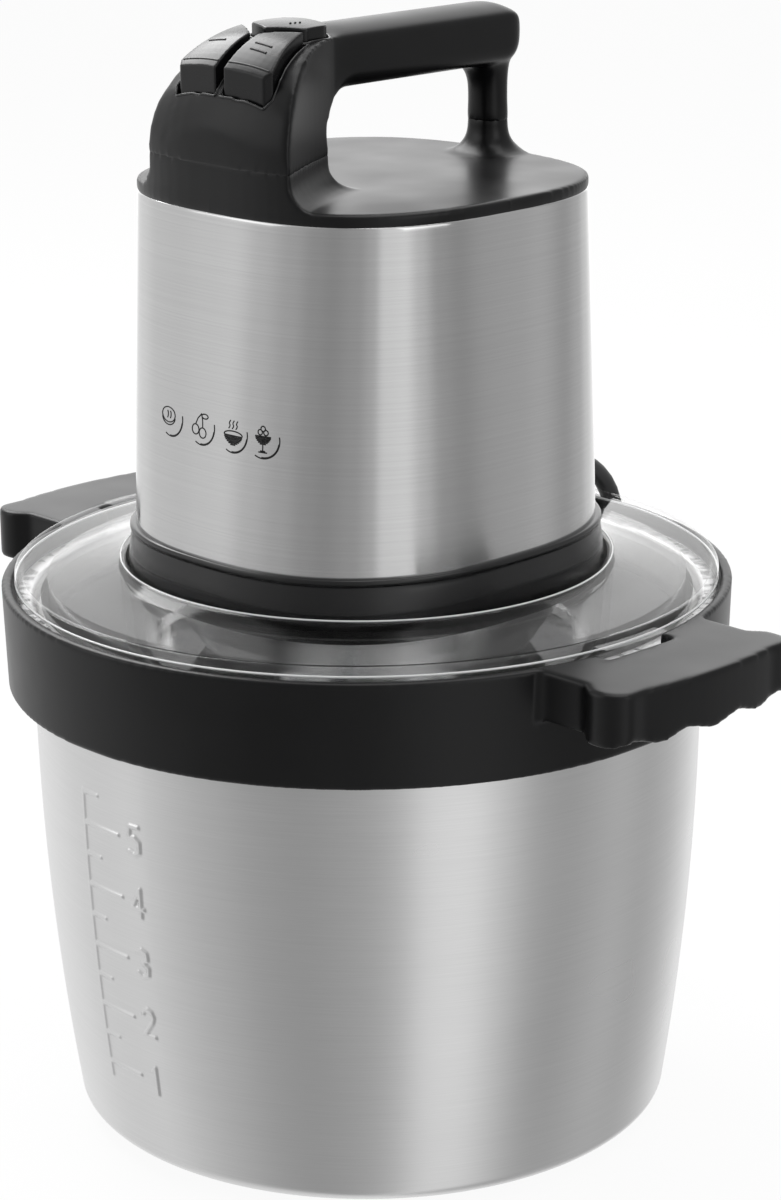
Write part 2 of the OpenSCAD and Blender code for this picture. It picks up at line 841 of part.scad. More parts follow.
module button_carrier() {
    color([0.85, 0.85, 0.82])
        difference() {
            upright(carrier_top - carrier_plate, carrier_top)
                polygon(inside_plan(-57.5, -hood_back - wall - 0.8, 0.8));
            for (s = [-1, 1])
                rod([s * stem_at[0], stem_at[1]], stem_r + 0.1, carrier_top - 5, carrier_top + 1);
            rod(pulse_at, stem_r + 0.1, carrier_top - 5, carrier_top + 1);
            for (p = carrier_points)
                rod(p, 1.2, carrier_top - 5, carrier_top + 1);
            for (s = [0, 1])
                rod(handle_screw_points[s], 4.2, carrier_top - 5, carrier_top + 1);
        }
}

module carrier_screws() {
    color("silver")
        for (p = carrier_points) {
            rod(p, 2, carrier_top - carrier_plate - 1.5, carrier_top - carrier_plate);
            rod(p, 0.95, carrier_top - carrier_plate - 1, carrier_top + 6);
        }
}

// A button's stem, with the collar under the carrier that holds the button in
module stem(p, top) {
    rod(p, stem_r, stem_low, top);
    rod(p, stem_r + 1, stem_low, stem_low + 1.5);
}

// A cap that follows the hood, with a recess for the spring round its stem
module cap(p, low, recess) {
    difference() {
        intersection() {
            upright(low, bar_top + 12)
                children();
            loft([for (y = [-64:2:-20]) cap_ring(y)]);
        }
        rod(p, stem_r + spring_room - 0.2, low - 1, low + recess);
    }
    stem(p, low + recess + 3);
}

// One section of the buttons' top surface; the sides lie outside every button
function cap_ring(y) =
    let (top = hood_arc(y, button_proud))
    concat([for (i = [-8:8]) let (x = 3 * i) [x, y, top - button_crown * x * x]],
        [[24, y, carrier_top], [-24, y, carrier_top]]);

module speed_button(side) {
    color([0.14, 0.14, 0.14])
        cap([side * stem_at[0], stem_at[1]], cap_low, cap_recess)
            polygon(speed_plan(side, 0));
}

module button_one() {
    speed_button(-1);
}

module button_two() {
    speed_button(1);
}

pulse_low = pulse_floor + button_travel + 0.4;

module button_pulse() {
    color([0.14, 0.14, 0.14])
        cap(pulse_at, pulse_low, 2)
            polygon(pulse_plan(0));
}

// A coil spring round a button's stem
module coil_spring(p, z0, z1) {
    turns = 6;
    steps = 12;
    wire = 0.35;
    r = stem_r + 0.9;
    rings = [for (i = [0:turns * steps])
        let (a = 360 * i / steps, z = z0 + wire + (z1 - z0 - 2 * wire) * i / (turns * steps))
        [for (j = [0:5])
            let (b = -60 * j)
            [p[0] + (r + wire * cos(b)) * cos(a), p[1] + (r + wire * cos(b)) * sin(a),
                z + wire * sin(b)]]];
    color("silver")
        loft(rings);
}

module spring_one() {
    coil_spring([-stem_at[0], stem_at[1]], carrier_top, cap_low + cap_recess);
}

module spring_two() {
    coil_spring(stem_at, carrier_top, cap_low + cap_recess);
}

module spring_pulse() {
    coil_spring(pulse_at, carrier_top, pulse_low + 2);
}

module control_board() {
    color("darkgreen")
        difference() {
            upright(board_z, board_z + board_t)
                polygon(inside_plan(-62, -hood_back - wall - 0.6, 0.8));
            for (p = board_points)
                rod(p, 0.9, board_z - 1, board_z + board_t + 1);
            for (s = [0, 1])
                rod(handle_screw_points[s], 4.2, board_z - 1, board_z + board_t + 1);
        }
}

module micro_switches() {
    z = board_z + board_t;
    color([0.2, 0.2, 0.22])
        for (p = [[-stem_at[0], stem_at[1]], stem_at, pulse_at]) {
            translate([p[0] - 6.4, p[1] - 2.9, z])
                cube([12.8, 5.8, switch_top - z - 1.5]);
            translate([p[0] - 1.5, p[1] - 1, switch_top - 2])
                cube([3, 2, 2]);
        }
}

module handle_screws() {
    color("silver")
        for (p = handle_screw_points)
            screw_up(p, cover_z - 2, 20);
}

// Gear outlines with involute flanks
function inv_deg(a) = tan(a) * 180 / PI - a;

function flank(r, rb, n, slack) =
    90 / n - slack * 90 / (PI * gear_m * n / 2) + inv_deg(press_angle) - inv_deg(acos(min(1, rb / r)));

function gear_points(n, add, ded, slack) =
    let (
        rp = gear_m * n / 2,
        rb = rp * cos(press_angle),
        r0 = rp - ded * gear_m,
        r1 = rp + add * gear_m,
        rs = max(r0, rb)
    )
    [for (t = [0:n - 1])
        let (a = 360 * t / n)
        each concat(
            [[r0, -flank(rs, rb, n, slack)]],
            [for (k = [0:4]) let (r = rs + (r1 - rs) * k / 4) [r, -flank(r, rb, n, slack)]],
            [for (k = [4:-1:0]) let (r = rs + (r1 - rs) * k / 4) [r, flank(r, rb, n, slack)]],
            [[r0, flank(rs, rb, n, slack)]])
        * 1];

function polar(points, n) = [
    for (i = [0:len(points) - 1])
    let (a = points[i][1] + 360 * floor(i / 12) / n)
    [points[i][0] * cos(a), points[i][0] * sin(a)]
];

module gear_shape(n, add, ded, slack) {
    polygon(polar(gear_points(n, add, ded, slack), n));
}

module gearbox_housing() {
    color("lightgray")
        difference() {
            union() {
                rod([0, 0], box_r, floor_z, gearbox_top);
                rod([0, 0], flange_r, base_z + deck_low, gearbox_top);
            }
            rod([0, 0], ring_out + 0.1, carrier_z - 0.5, gearbox_top + 1);
            rod([0, 0], 15, bearing_z, carrier_z + 1);
            rod([0, 0], drive_r + 1, floor_z - 1, bearing_z + 1);
            rod([0, 0], drive_r + 4, floor_z - 1, floor_z + 3);
            for (a = [0:90:270])
                rotate([0, 0, a])
                    rod([flange_r - 5, 0], screw_r, base_z, gearbox_top + 1);
            for (a = base_screw_angles)
                rotate([0, 0, a])
                    rod([flange_r - 5, 0], screw_r + 0.2, base_z, gearbox_top + 1);
        }
}

module ring_gear() {
    color("dimgray")
        upright(gear_z - 0.5, gearbox_top)
            difference() {
                circle(r = ring_out);
                rotate(180 / ring_n)
                    gear_shape(ring_n, 1.2, 0.9, -backlash);
            }
}

module planet_gear(i) {
    a = 90 + 120 * i;
    color("ivory")
        translate([planet_at * cos(a), planet_at * sin(a), gear_z])
            rotate([0, 0, a + 180 + 180 / planet_n])
                linear_extrude(gear_face)
                    difference() {
                        gear_shape(planet_n, 0.9, 1.2, backlash);
                        circle(r = planet_pin_r + running);
                    }
}

module planet_gear_1() {
    planet_gear(0);
}

module planet_gear_2() {
    planet_gear(1);
}

module planet_gear_3() {
    planet_gear(2);
}

module planet_carrier() {
    color("slategray")
        union() {
            rod([0, 0], planet_at + 5.5, carrier_z, carrier_z + carrier_t);
            for (a = [90:120:330])
                rotate([0, 0, a])
                    rod([planet_at, 0], planet_pin_r, carrier_z + 1, gear_z + gear_face + 1);
            for (a = [90:120:330])
                rotate([0, 0, a])
                    rod([planet_at, 0], planet_pin_r + 1.5, carrier_z + 1, gear_z - 0.3);
            rod([0, 0], drive_r, drive_z + 13, carrier_z + 1);
            translate([0, 0, drive_z])
                cylinder(r = drive_flat, h = 14, $fn = 6);
        }
}

module ball_bearing(r_out, r_in, z0, z1) {
    r_ball = (r_out - r_in) / 4;
    mid = (r_out + r_in) / 2;
    union() {
        difference() {
            tube(r_out, r_in, z0, z1);
            tube(mid + r_ball * 0.7, mid - r_ball * 0.7, z1 - 0.8, z1 + 1);
        }
        for (a = [0:45:315])
            rotate([0, 0, a])
                translate([mid, 0, z1 - 1.4])
                    sphere(r = r_ball * 0.68, $fn = 24);
    }
}

module output_bearing() {
    color("silver")
        ball_bearing(15, drive_r + running, bearing_z, carrier_z - seat_gap);
}

module output_seal() {
    color([0.15, 0.15, 0.15])
        tube(drive_r + 4, drive_r + running, floor_z, floor_z + 3);
}

// Motor frame: plate on the gearbox with the lower bearing and four posts
module motor_frame() {
    color("darkgray")
        difference() {
            union() {
                rod([0, 0], flange_r, gearbox_top, frame_top);
                rod([0, 0], 14, gearbox_top, frame_top + 5);
                for (x = [-1, 1], y = [-1, 1])
                    rod([x * post_x, y * post_in_y], 4, gearbox_top, core_z);
            }
            rod([0, 0], shaft_r + 2, gearbox_top - 1, frame_top + 6);
            rod([0, 0], 11, gearbox_top + 2, frame_top + 6);
            for (a = [0:90:270])
                rotate([0, 0, a])
                    rod([flange_r - 5, 0], screw_r + 0.2, gearbox_top - 1, frame_top + 1);
            for (a = base_screw_angles)
                rotate([0, 0, a])
                    rod([flange_r - 5, 0], screw_r + 0.2, gearbox_top - 1, frame_top + 1);
            for (x = [-1, 1], y = [-1, 1])
                rod([x * post_x, y * post_in_y], screw_r, core_z - 12, core_z + 1);
        }
}

module gearbox_screws() {
    color("silver")
        for (a = [0:90:270])
            rotate([0, 0, a]) {
                rod([flange_r - 5, 0], head_r - 0.2, frame_top, frame_top + 2);
                rod([flange_r - 5, 0], screw_r - 0.1, base_z + deck_low + 0.5, frame_top + 1);
            }
}

module base_screws() {
    color("silver")
        for (a = base_screw_angles)
            rotate([0, 0, a]) {
                rod([flange_r - 5, 0], head_r - 0.2, frame_top, frame_top + 2);
                rod([flange_r - 5, 0], screw_r - 0.1, base_z - 0.9, frame_top + 1);
            }
}

module lower_bearing() {
    color("silver")
        ball_bearing(11, shaft_r + running, gearbox_top + 2, frame_top + 5);
}

module stator_core() {
    color("slategray")
        upright(core_z, core_top)
            difference() {
                polygon(squarish(core_x, core_y, 7));
                circle(r = bore_r);
                for (x = [-1, 1], y = [-1, 1])
                    scale([x, y]) {
                        translate([24, 12.8])
                            square([7, 8.2]);
                        translate([12, 18.5])
                            square([14, 2.5]);
                        translate([post_x, post_in_y])
                            circle(r = screw_r + 0.2);
                    }
            }
}

module stator_coils() {
    color("peru")
        for (s = [-1, 1])
            translate([s * 27.5 - 2.8, 0, 0])
                rotate([90, 0, 90])
                    linear_extrude(5.6)
                        difference() {
                            translate([-20, core_z - 8])
                                square([40, core_h + 16]);
                            translate([-13, core_z - 0.3])
                                square([26, core_h + 0.6]);
                        }
}

module stator_screws() {
    color("silver")
        for (x = [-1, 1], y = [-1, 1]) {
            rod([x * post_x, y * post_in_y], 2.6, bracket_z + 3, bracket_z + 5);
            rod([x * post_x, y * post_in_y], screw_r - 0.1, core_z - 11, bracket_z + 4);
        }
}

module upper_bracket() {
    color("darkgray")
        difference() {
            union() {
                upright(bracket_z, bracket_z + 3)
                    square([2 * post_x + 8, 26], center = true);
                upright(bracket_z, bracket_z + 3)
                    for (s = [-1, 1])
                        translate([s * post_x, 0])
                            square([8, 2 * post_in_y + 8], center = true);
                rod([0, 0], 12.5, bracket_z, top_bearing_z + 8);
                for (x = [-1, 1], y = [-1, 1])
                    rod([x * post_x, y * post_in_y], 4, core_top, bracket_z + 1);
            }
            rod([0, 0], 9.5, bracket_z + 2, top_bearing_z + 9);
            rod([0, 0], shaft_r + 2, bracket_z - 1, bracket_z + 4);
            for (x = [-1, 1], y = [-1, 1])
                rod([x * post_x, y * post_in_y], screw_r, core_top - 1, bracket_z + 4);
        }
}

module upper_bearing() {
    color("silver")
        ball_bearing(9.5, shaft_r + running, bracket_z + 2, bracket_z + 9);
}

module brush_holders() {
    color("goldenrod")
        for (s = [-1, 1])
            difference() {
                union() {
                    translate([-5, s > 0 ? comm_r + 2 : -comm_r - 24, comm_z + 2])
                        cube([10, 22, 10]);
                    translate([-5, s > 0 ? comm_r + 2 : -comm_r - 12, comm_z + 11])
                        cube([10, 10, bracket_z - comm_z - 11]);
                }
                translate([-3.2, s > 0 ? comm_r : -comm_r - 23, comm_z + 3.8])
                    cube([6.4, 23, 6.4]);
            }
}

module carbon_brushes() {
    color([0.2, 0.2, 0.2])
        for (s = [-1, 1])
            translate([-3.1, s > 0 ? comm_r + 0.05 : -comm_r - 14.05, comm_z + 3.9])
                cube([6.2, 14, 6.2]);
}

// Rotor: shaft with the sun pinion cut on its lower end
module rotor_shaft() {
    color("silver")
        union() {
            upright(gear_z, gear_z + gear_face + 2)
                gear_shape(sun_n, 0.9, 1.2, backlash);
            rod([0, 0], shaft_r, gear_z + gear_face + 1, shaft_top);
        }
}

module rotor_core() {
    color("slategray")
        upright(core_z, core_top)
            difference() {
                circle(r = rotor_r);
                circle(r = shaft_r);
                for (a = [15:30:345])
                    rotate(a) {
                        translate([17, 0])
                            circle(r = 3);
                        translate([19, -0.8])
                            square([5, 1.6]);
                    }
            }
}

module rotor_winding() {
    color("peru")
        for (z = [core_z - 7, core_top])
            rotate_extrude()
                polygon([[9, z], [19.5, z], [20.5, z + 2], [20, z + 5], [17, z + 7], [11, z + 7],
                    [9, z + 5]]);
}

module commutator() {
    color("darkgoldenrod")
        upright(comm_z, comm_z + comm_h)
            difference() {
                circle(r = comm_r);
                circle(r = shaft_r);
                for (a = [0:15:345])
                    rotate(a)
                        translate([comm_r - 1.4, -0.25])
                            square([3, 0.5]);
            }
}

module cooling_fan() {
    fan_z = frame_top + 9;
    color([0.2, 0.2, 0.2])
        union() {
            tube(32, shaft_r, fan_z, fan_z + 2);
            tube(9, shaft_r, fan_z, fan_z + 11);
            for (a = [0:36:324])
                rotate([0, 0, a])
                    translate([8, -0.8, fan_z + 1])
                        cube([23, 1.6, 9]);
        }
}

// Cord, its boot at the shell, its coil behind the bowl and its plug
module strain_relief() {
    reach = norm(boot_to - boot_from);
    color([0.08, 0.08, 0.08])
        translate(boot_from)
            rotate([-90 - atan2(-boot_axis[2], boot_axis[1]), 0, 0])
                rotate_extrude()
                    polygon([[0, -5], [boot_root_r + 2, -5], [boot_root_r + 2, -3.1],
                        [boot_root_r, -3.1], [boot_root_r, 1], [boot_end_r, reach], [0, reach]]);
}

function unit(v) = v / norm(v);

module cord() {
    last = len(cord_route) - 1;
    rings = [for (i = [0:last])
        let (
            t = unit(cord_route[min(i + 1, last)] - cord_route[max(i - 1, 0)]),
            u = unit(cross(t, abs(t[0]) > 0.5 ? [0, 0, 1] : [1, 0, 0])),
            v = cross(t, u)
        )
        [for (j = [0:9])
            cord_route[i] + cord_d / 2 * (cos(36 * j) * u + sin(36 * j) * v)]];
    color([0.07, 0.07, 0.07])
        union() {
            loft(rings);
            translate([plug_x, plug_y, plug_z])
                rotate([-90, 0, 0])
                    cylinder(r = cord_d / 2, h = 9);
        }
}

module cord_coil() {
    color([0.07, 0.07, 0.07])
        translate([coil_at[0], coil_at[1], 0])
            rotate_extrude()
                polygon([[coil_in, 3], [coil_in + 3, 0], [coil_out - 3, 0], [coil_out, 3],
                    [coil_out, coil_h - 3], [coil_out - 3, coil_h], [coil_in + 3, coil_h],
                    [coil_in, coil_h - 3]]);
}

module plug() {
    color([0.07, 0.07, 0.07])
        translate([plug_x, plug_y, plug_z])
            rotate([90, 0, 0])
                difference() {
                    union() {
                        cylinder(r1 = cord_d / 2 + 1.4, r2 = 7, h = 15);
                        translate([0, 0, 14.9])
                            linear_extrude(18)
                                polygon(squarish(13, 8, 3.4, 48));
                        translate([0, 0, 32.8])
                            linear_extrude(4)
                                polygon(squarish(17, 10, 3.4, 48));
                    }
                    for (s = [-1, 1])
                        translate([s * 9.3, 0, 24])
                            cylinder(r = 2, h = 20);
                }
}

module plug_pins() {
    color("gold")
        for (s = [-1, 1])
            translate([plug_x + s * 9.3, plug_y - 25, plug_z])
                rotate([90, 0, 0])
                    union() {
                        cylinder(r = 2, h = 29);
                        translate([0, 0, 29])
                            sphere(r = 2);
                    }
}

bowl();
bowl_collar();
pivot_pin();
blade_hub();
hub_bush();
lower_blade();
blade_spacer();
upper_blade();
blade_nut();
lid();
lid_gasket();
lid_bush();
base_pan();
base_ring();
motor_shell();
top_cover();
handle_shell();
gearbox_housing();
ring_gear();
output_bearing();
output_seal();
motor_frame();
lower_bearing();
stator_core();
stator_coils();
stator_screws();
upper_bracket();
upper_bearing();
brush_holders();
carbon_brushes();
gearbox_screws();
base_screws();
handle_screws();
control_board();
micro_switches();
button_carrier();
carrier_screws();
spring_one();
spring_two();
spring_pulse();
strain_relief();
cord();
cord_coil();
plug();
plug_pins();
rotor_shaft();
rotor_core();
rotor_winding();
commutator();
cooling_fan();
planet_gear_1();
planet_gear_2();
planet_gear_3();
planet_carrier();
button_one();
button_two();
button_pulse();
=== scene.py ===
"""Electric food chopper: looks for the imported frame.

Sizes below are in millimetres where a name ends in _mm or stands in a shape
function; MM turns them into Blender's metres. The bowl stands on z = 0.
"""

import json
import math

import bmesh
import bpy
import numpy as np
from bpy.props import FloatProperty, FloatVectorProperty, PointerProperty
from mathutils import Matrix, Vector
from mathutils.bvhtree import BVHTree

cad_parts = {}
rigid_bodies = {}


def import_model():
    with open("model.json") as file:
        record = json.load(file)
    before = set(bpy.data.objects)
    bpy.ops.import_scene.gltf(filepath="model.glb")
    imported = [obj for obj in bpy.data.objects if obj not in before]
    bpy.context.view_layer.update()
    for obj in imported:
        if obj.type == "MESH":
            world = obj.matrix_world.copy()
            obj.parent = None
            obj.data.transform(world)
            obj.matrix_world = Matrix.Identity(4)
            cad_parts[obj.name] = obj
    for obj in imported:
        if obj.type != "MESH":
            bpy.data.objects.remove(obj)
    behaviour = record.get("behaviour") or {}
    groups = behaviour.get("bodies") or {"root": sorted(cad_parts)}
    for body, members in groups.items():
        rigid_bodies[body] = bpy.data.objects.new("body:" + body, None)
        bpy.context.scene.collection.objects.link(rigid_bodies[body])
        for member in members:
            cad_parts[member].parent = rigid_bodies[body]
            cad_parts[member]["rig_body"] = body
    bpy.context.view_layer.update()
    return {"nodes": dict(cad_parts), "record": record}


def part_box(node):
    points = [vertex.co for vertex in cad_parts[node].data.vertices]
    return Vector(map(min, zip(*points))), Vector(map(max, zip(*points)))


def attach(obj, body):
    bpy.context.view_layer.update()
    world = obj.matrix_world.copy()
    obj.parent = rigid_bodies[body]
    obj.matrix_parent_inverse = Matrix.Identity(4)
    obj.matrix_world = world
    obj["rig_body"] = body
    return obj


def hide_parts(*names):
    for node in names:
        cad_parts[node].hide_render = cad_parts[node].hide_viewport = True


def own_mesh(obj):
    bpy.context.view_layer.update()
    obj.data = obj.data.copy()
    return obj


bl_info = {
    "name": "Electric food chopper",
    "version": (1, 0, 0),
    "blender": (4, 5, 0),
    "location": "View3D > Sidebar > Chopper",
    "description": "Dresses the packed food chopper and sets its stage",
    "category": "Object",
}

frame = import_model()
NODES = frame["nodes"]
MM = 0.001

# Heights of the stack, as in the part's source
RIM_Z = 187.5
COLLAR_TOP = 192.5
COLLAR_LOW = 156.5
BASE_Z = 190.0
SHELL_Z = 212.2
COVER_Z = 325.2
SEAM_Z = 341.0
LID_TOP = 196.3
RECESS_TOP = 200.0
HEAD_Z = 166.0

# Radii and widths, as in the part's source
BOWL_R = 115.0
BOWL_T = 1.0
BOWL_TAPER = 11
FOOT_FLAT, FOOT_W, FOOT_Z = 84, 20, 9
COLLAR_R = 125.0
COLLAR_TAPER = 1.2
LID_R = 120.5
LID_T = 2.5
SKIRT_R = 111.8
RECESS_R = 82.5
LUG_HALF = 14.5

# The sleeve's plan: half width, half depth and squareness at its foot, and what they gain by its top
SHELL_FOOT = (71.5, 74.9, 2.5)
SHELL_GAIN = (-3.1, -7.4, 0.3)

# A softened edge at a seam: how far from it points are drawn in, what they close up, and by how
# much the two pieces may lap, so that the seam is a fine line and no groove
SEAM_REACH, SEAM_FLAT, SEAM_LAP = 2.4, 0.8, 0.6

# The cord's route from its boot to its coil, as in the part's source
CORD_ROUTE = [
    (0, 98, 212.5), (0, 102, 211.5), (-1, 106.5, 210), (-2, 111.5, 207.9), (-3.2, 116.5, 205.2),
    (-4.5, 121.4, 202), (-5.7, 126, 198), (-6.8, 130, 193.2), (-7.8, 133.2, 187.6),
    (-8.6, 135.8, 181.4), (-9.2, 137.6, 174.6), (-9.7, 138.6, 167),
    *[(-10, 139, z) for z in range(156, 57, -14)],
    (-10.4, 139.4, 46), (-12, 140.6, 35), (-15.4, 143, 25), (-20.6, 146.4, 16.4),
    (-27.4, 150.6, 10), (-35.6, 155.4, 6), (-44.6, 160.6, 4.3), (-54, 166, 4), (-62, 170.4, 3.8),
]
COIL_AT = (-100.0, 145.0)
PLUG_AT = (-142.0, 116.0, 10.5)


# ---------------------------------------------------------------- colours and nodes

def hex_rgb(text):
    """An sRGB hex colour as linear red, green and blue."""
    out = []
    for i in (1, 3, 5):
        c = int(text[i:i + 2], 16) / 255
        out.append(c / 12.92 if c <= 0.04045 else ((c + 0.055) / 1.055) ** 2.4)
    return tuple(out)


def add_node(tree, kind, sockets=None, **settings):
    """Adds a node, with its settings, its socket values and its links."""
    node = tree.nodes.new(kind)
    for key, value in settings.items():
        setattr(node, key, value)
    for key, value in (sockets or {}).items():
        if isinstance(value, bpy.types.NodeSocket):
            tree.links.new(value, node.inputs[key])
        else:
            node.inputs[key].default_value = value
    return node


def new_material(name):
    """An empty material and its tree."""
    made = bpy.data.materials.new(name)
    made.use_nodes = True
    made.node_tree.nodes.clear()
    return made, made.node_tree


def mapped_noise(tree, scale, detail, rough):
    """Noise on Object coordinates, stretched by scale (per metre)."""
    spot = add_node(tree, "ShaderNodeTexCoord").outputs["Object"]
    placed = add_node(tree, "ShaderNodeMapping", {"Vector": spot, "Scale": scale})
    return add_node(tree, "ShaderNodeTexNoise", {
        "Vector": placed.outputs["Vector"], "Scale": 1.0, "Detail": detail,
        "Roughness": rough}).outputs["Fac"]


# Noise mostly lies between these two values, so each pattern is spread over them
NOISE_LOW, NOISE_HIGH = 0.3, 0.7


def close_material(made, tree, tone, hexes, wear, rough, sockets):
    """Ends a material: one pattern mixes its two tones, another moves its roughness."""
    colour = add_node(tree, "ShaderNodeValToRGB", {"Fac": tone})
    for stop, at, text in zip(colour.color_ramp.elements, (NOISE_LOW, NOISE_HIGH), hexes):
        stop.position = at
        stop.color = (*hex_rgb(text), 1)
    finish = add_node(tree, "ShaderNodeMapRange", {
        "Value": wear, "From Min": NOISE_LOW, "From Max": NOISE_HIGH, "To Min": rough[0],
        "To Max": rough[1]})
    shader = add_node(tree, "ShaderNodeBsdfPrincipled", {
        "Base Color": colour.outputs["Color"], "Roughness": finish.outputs["Result"], **sockets})
    add_node(tree, "ShaderNodeOutputMaterial", {"Surface": shader.outputs["BSDF"]})
    return made


def brushed_steel(name, dark, light, rough, line_mm, run_mm, stretch, depth):
    """Stainless sheet brushed round the vertical axis: fine level hairlines."""
    made, tree = new_material(name)
    run = 1 / (run_mm * MM)
    lines = mapped_noise(tree, (run, run, 1 / (line_mm * MM)), 3, 0.65)
    cloud = mapped_noise(tree, (14, 14, 22), 2, 0.5)
    bump = add_node(tree, "ShaderNodeBump", {
        "Height": lines, "Strength": depth, "Distance": 0.02 * MM})
    tangent = add_node(tree, "ShaderNodeTangent", direction_type="RADIAL", axis="Z")
    return close_material(made, tree, lines, (dark, light), cloud, (rough - 0.03, rough + 0.03), {
        "Metallic": 1.0, "Normal": bump.outputs["Normal"], "Anisotropic": stretch,
        "Anisotropic Rotation": 0.25, "Tangent": tangent.outputs["Tangent"]})


def grained_plastic(name, dark, light, rough, grain_mm, depth, shine=0.5):
    """Moulded plastic or rubber with the fine grain of its mould."""
    made, tree = new_material(name)
    grain = 1 / (grain_mm * MM)
    fine = mapped_noise(tree, (grain, grain, grain), 2, 0.6)
    cloud = mapped_noise(tree, (30, 30, 30), 2, 0.5)
    bump = add_node(tree, "ShaderNodeBump", {
        "Height": fine, "Strength": depth, "Distance": 0.03 * MM})
    return close_material(made, tree, cloud, (dark, light), cloud, (rough - 0.04, rough + 0.04), {
        "Normal": bump.outputs["Normal"], "IOR": 1.5, "Specular IOR Level": shine})


def machined_metal(name, dark, light, rough, mark_mm):
    """Turned, cast or rolled metal with faint tool marks."""
    made, tree = new_material(name)
    mark = 1 / (mark_mm * MM)
    fine = mapped_noise(tree, (mark / 6, mark / 6, mark), 2, 0.6)
    bump = add_node(tree, "ShaderNodeBump", {
        "Height": fine, "Strength": 0.1, "Distance": 0.02 * MM})
    return close_material(made, tree, fine, (dark, light), fine, (rough - 0.05, rough + 0.05), {
        "Metallic": 1.0, "Normal": bump.outputs["Normal"]})


def clear_plastic(name):
    """Clear styrene sheet: it mirrors at a low angle, has a faint grey body and lets light by."""
    made, tree = new_material(name)
    wave = mapped_noise(tree, (60, 60, 60), 1, 0.4)
    bump = add_node(tree, "ShaderNodeBump", {
        "Height": wave, "Strength": 0.05, "Distance": 0.2 * MM}).outputs["Normal"]
    polish = add_node(tree, "ShaderNodeMapRange", {
        "Value": wave, "From Min": NOISE_LOW, "From Max": NOISE_HIGH, "To Min": 0.05, "To Max": 0.09})
    # The skin's mirror is mixed in by hand below, so it is a full mirror itself
    skin = add_node(tree, "ShaderNodeBsdfPrincipled", {
        "Base Color": (*hex_rgb("#CACACA"), 1), "IOR": 1.5, "Metallic": 1.0,
        "Roughness": polish.outputs["Result"], "Normal": bump})
    see_by = add_node(tree, "ShaderNodeBsdfTransparent", {"Color": (0.99, 0.99, 0.99, 1)})
    # A skin mirrors 5% face on and all at its edge, the same from both sides because the sheet
    # doesn't bend light here. Shadow rays pass, so the inside stays lit
    low = add_node(tree, "ShaderNodeLayerWeight", {"Blend": 0.5, "Normal": bump}).outputs["Facing"]
    steep = add_node(tree, "ShaderNodeMath", {0: low, 1: 5.0}, operation="POWER").outputs[0]
    share = add_node(tree, "ShaderNodeMath", {0: steep, 1: 0.95, 2: 0.05}, operation="MULTIPLY_ADD")
    path = add_node(tree, "ShaderNodeLightPath").outputs
    seen = add_node(tree, "ShaderNodeMath", {0: 1.0, 1: path["Is Shadow Ray"]}, operation="SUBTRACT")
    part = add_node(tree, "ShaderNodeMath", {0: share.outputs[0], 1: seen.outputs[0]},
                    operation="MULTIPLY")
    both = add_node(tree, "ShaderNodeMixShader", {
        0: part.outputs[0], 1: see_by.outputs["BSDF"], 2: skin.outputs["BSDF"]})
    add_node(tree, "ShaderNodeOutputMaterial", {"Surface": both.outputs["Shader"]})
    return made


MATERIALS = {}

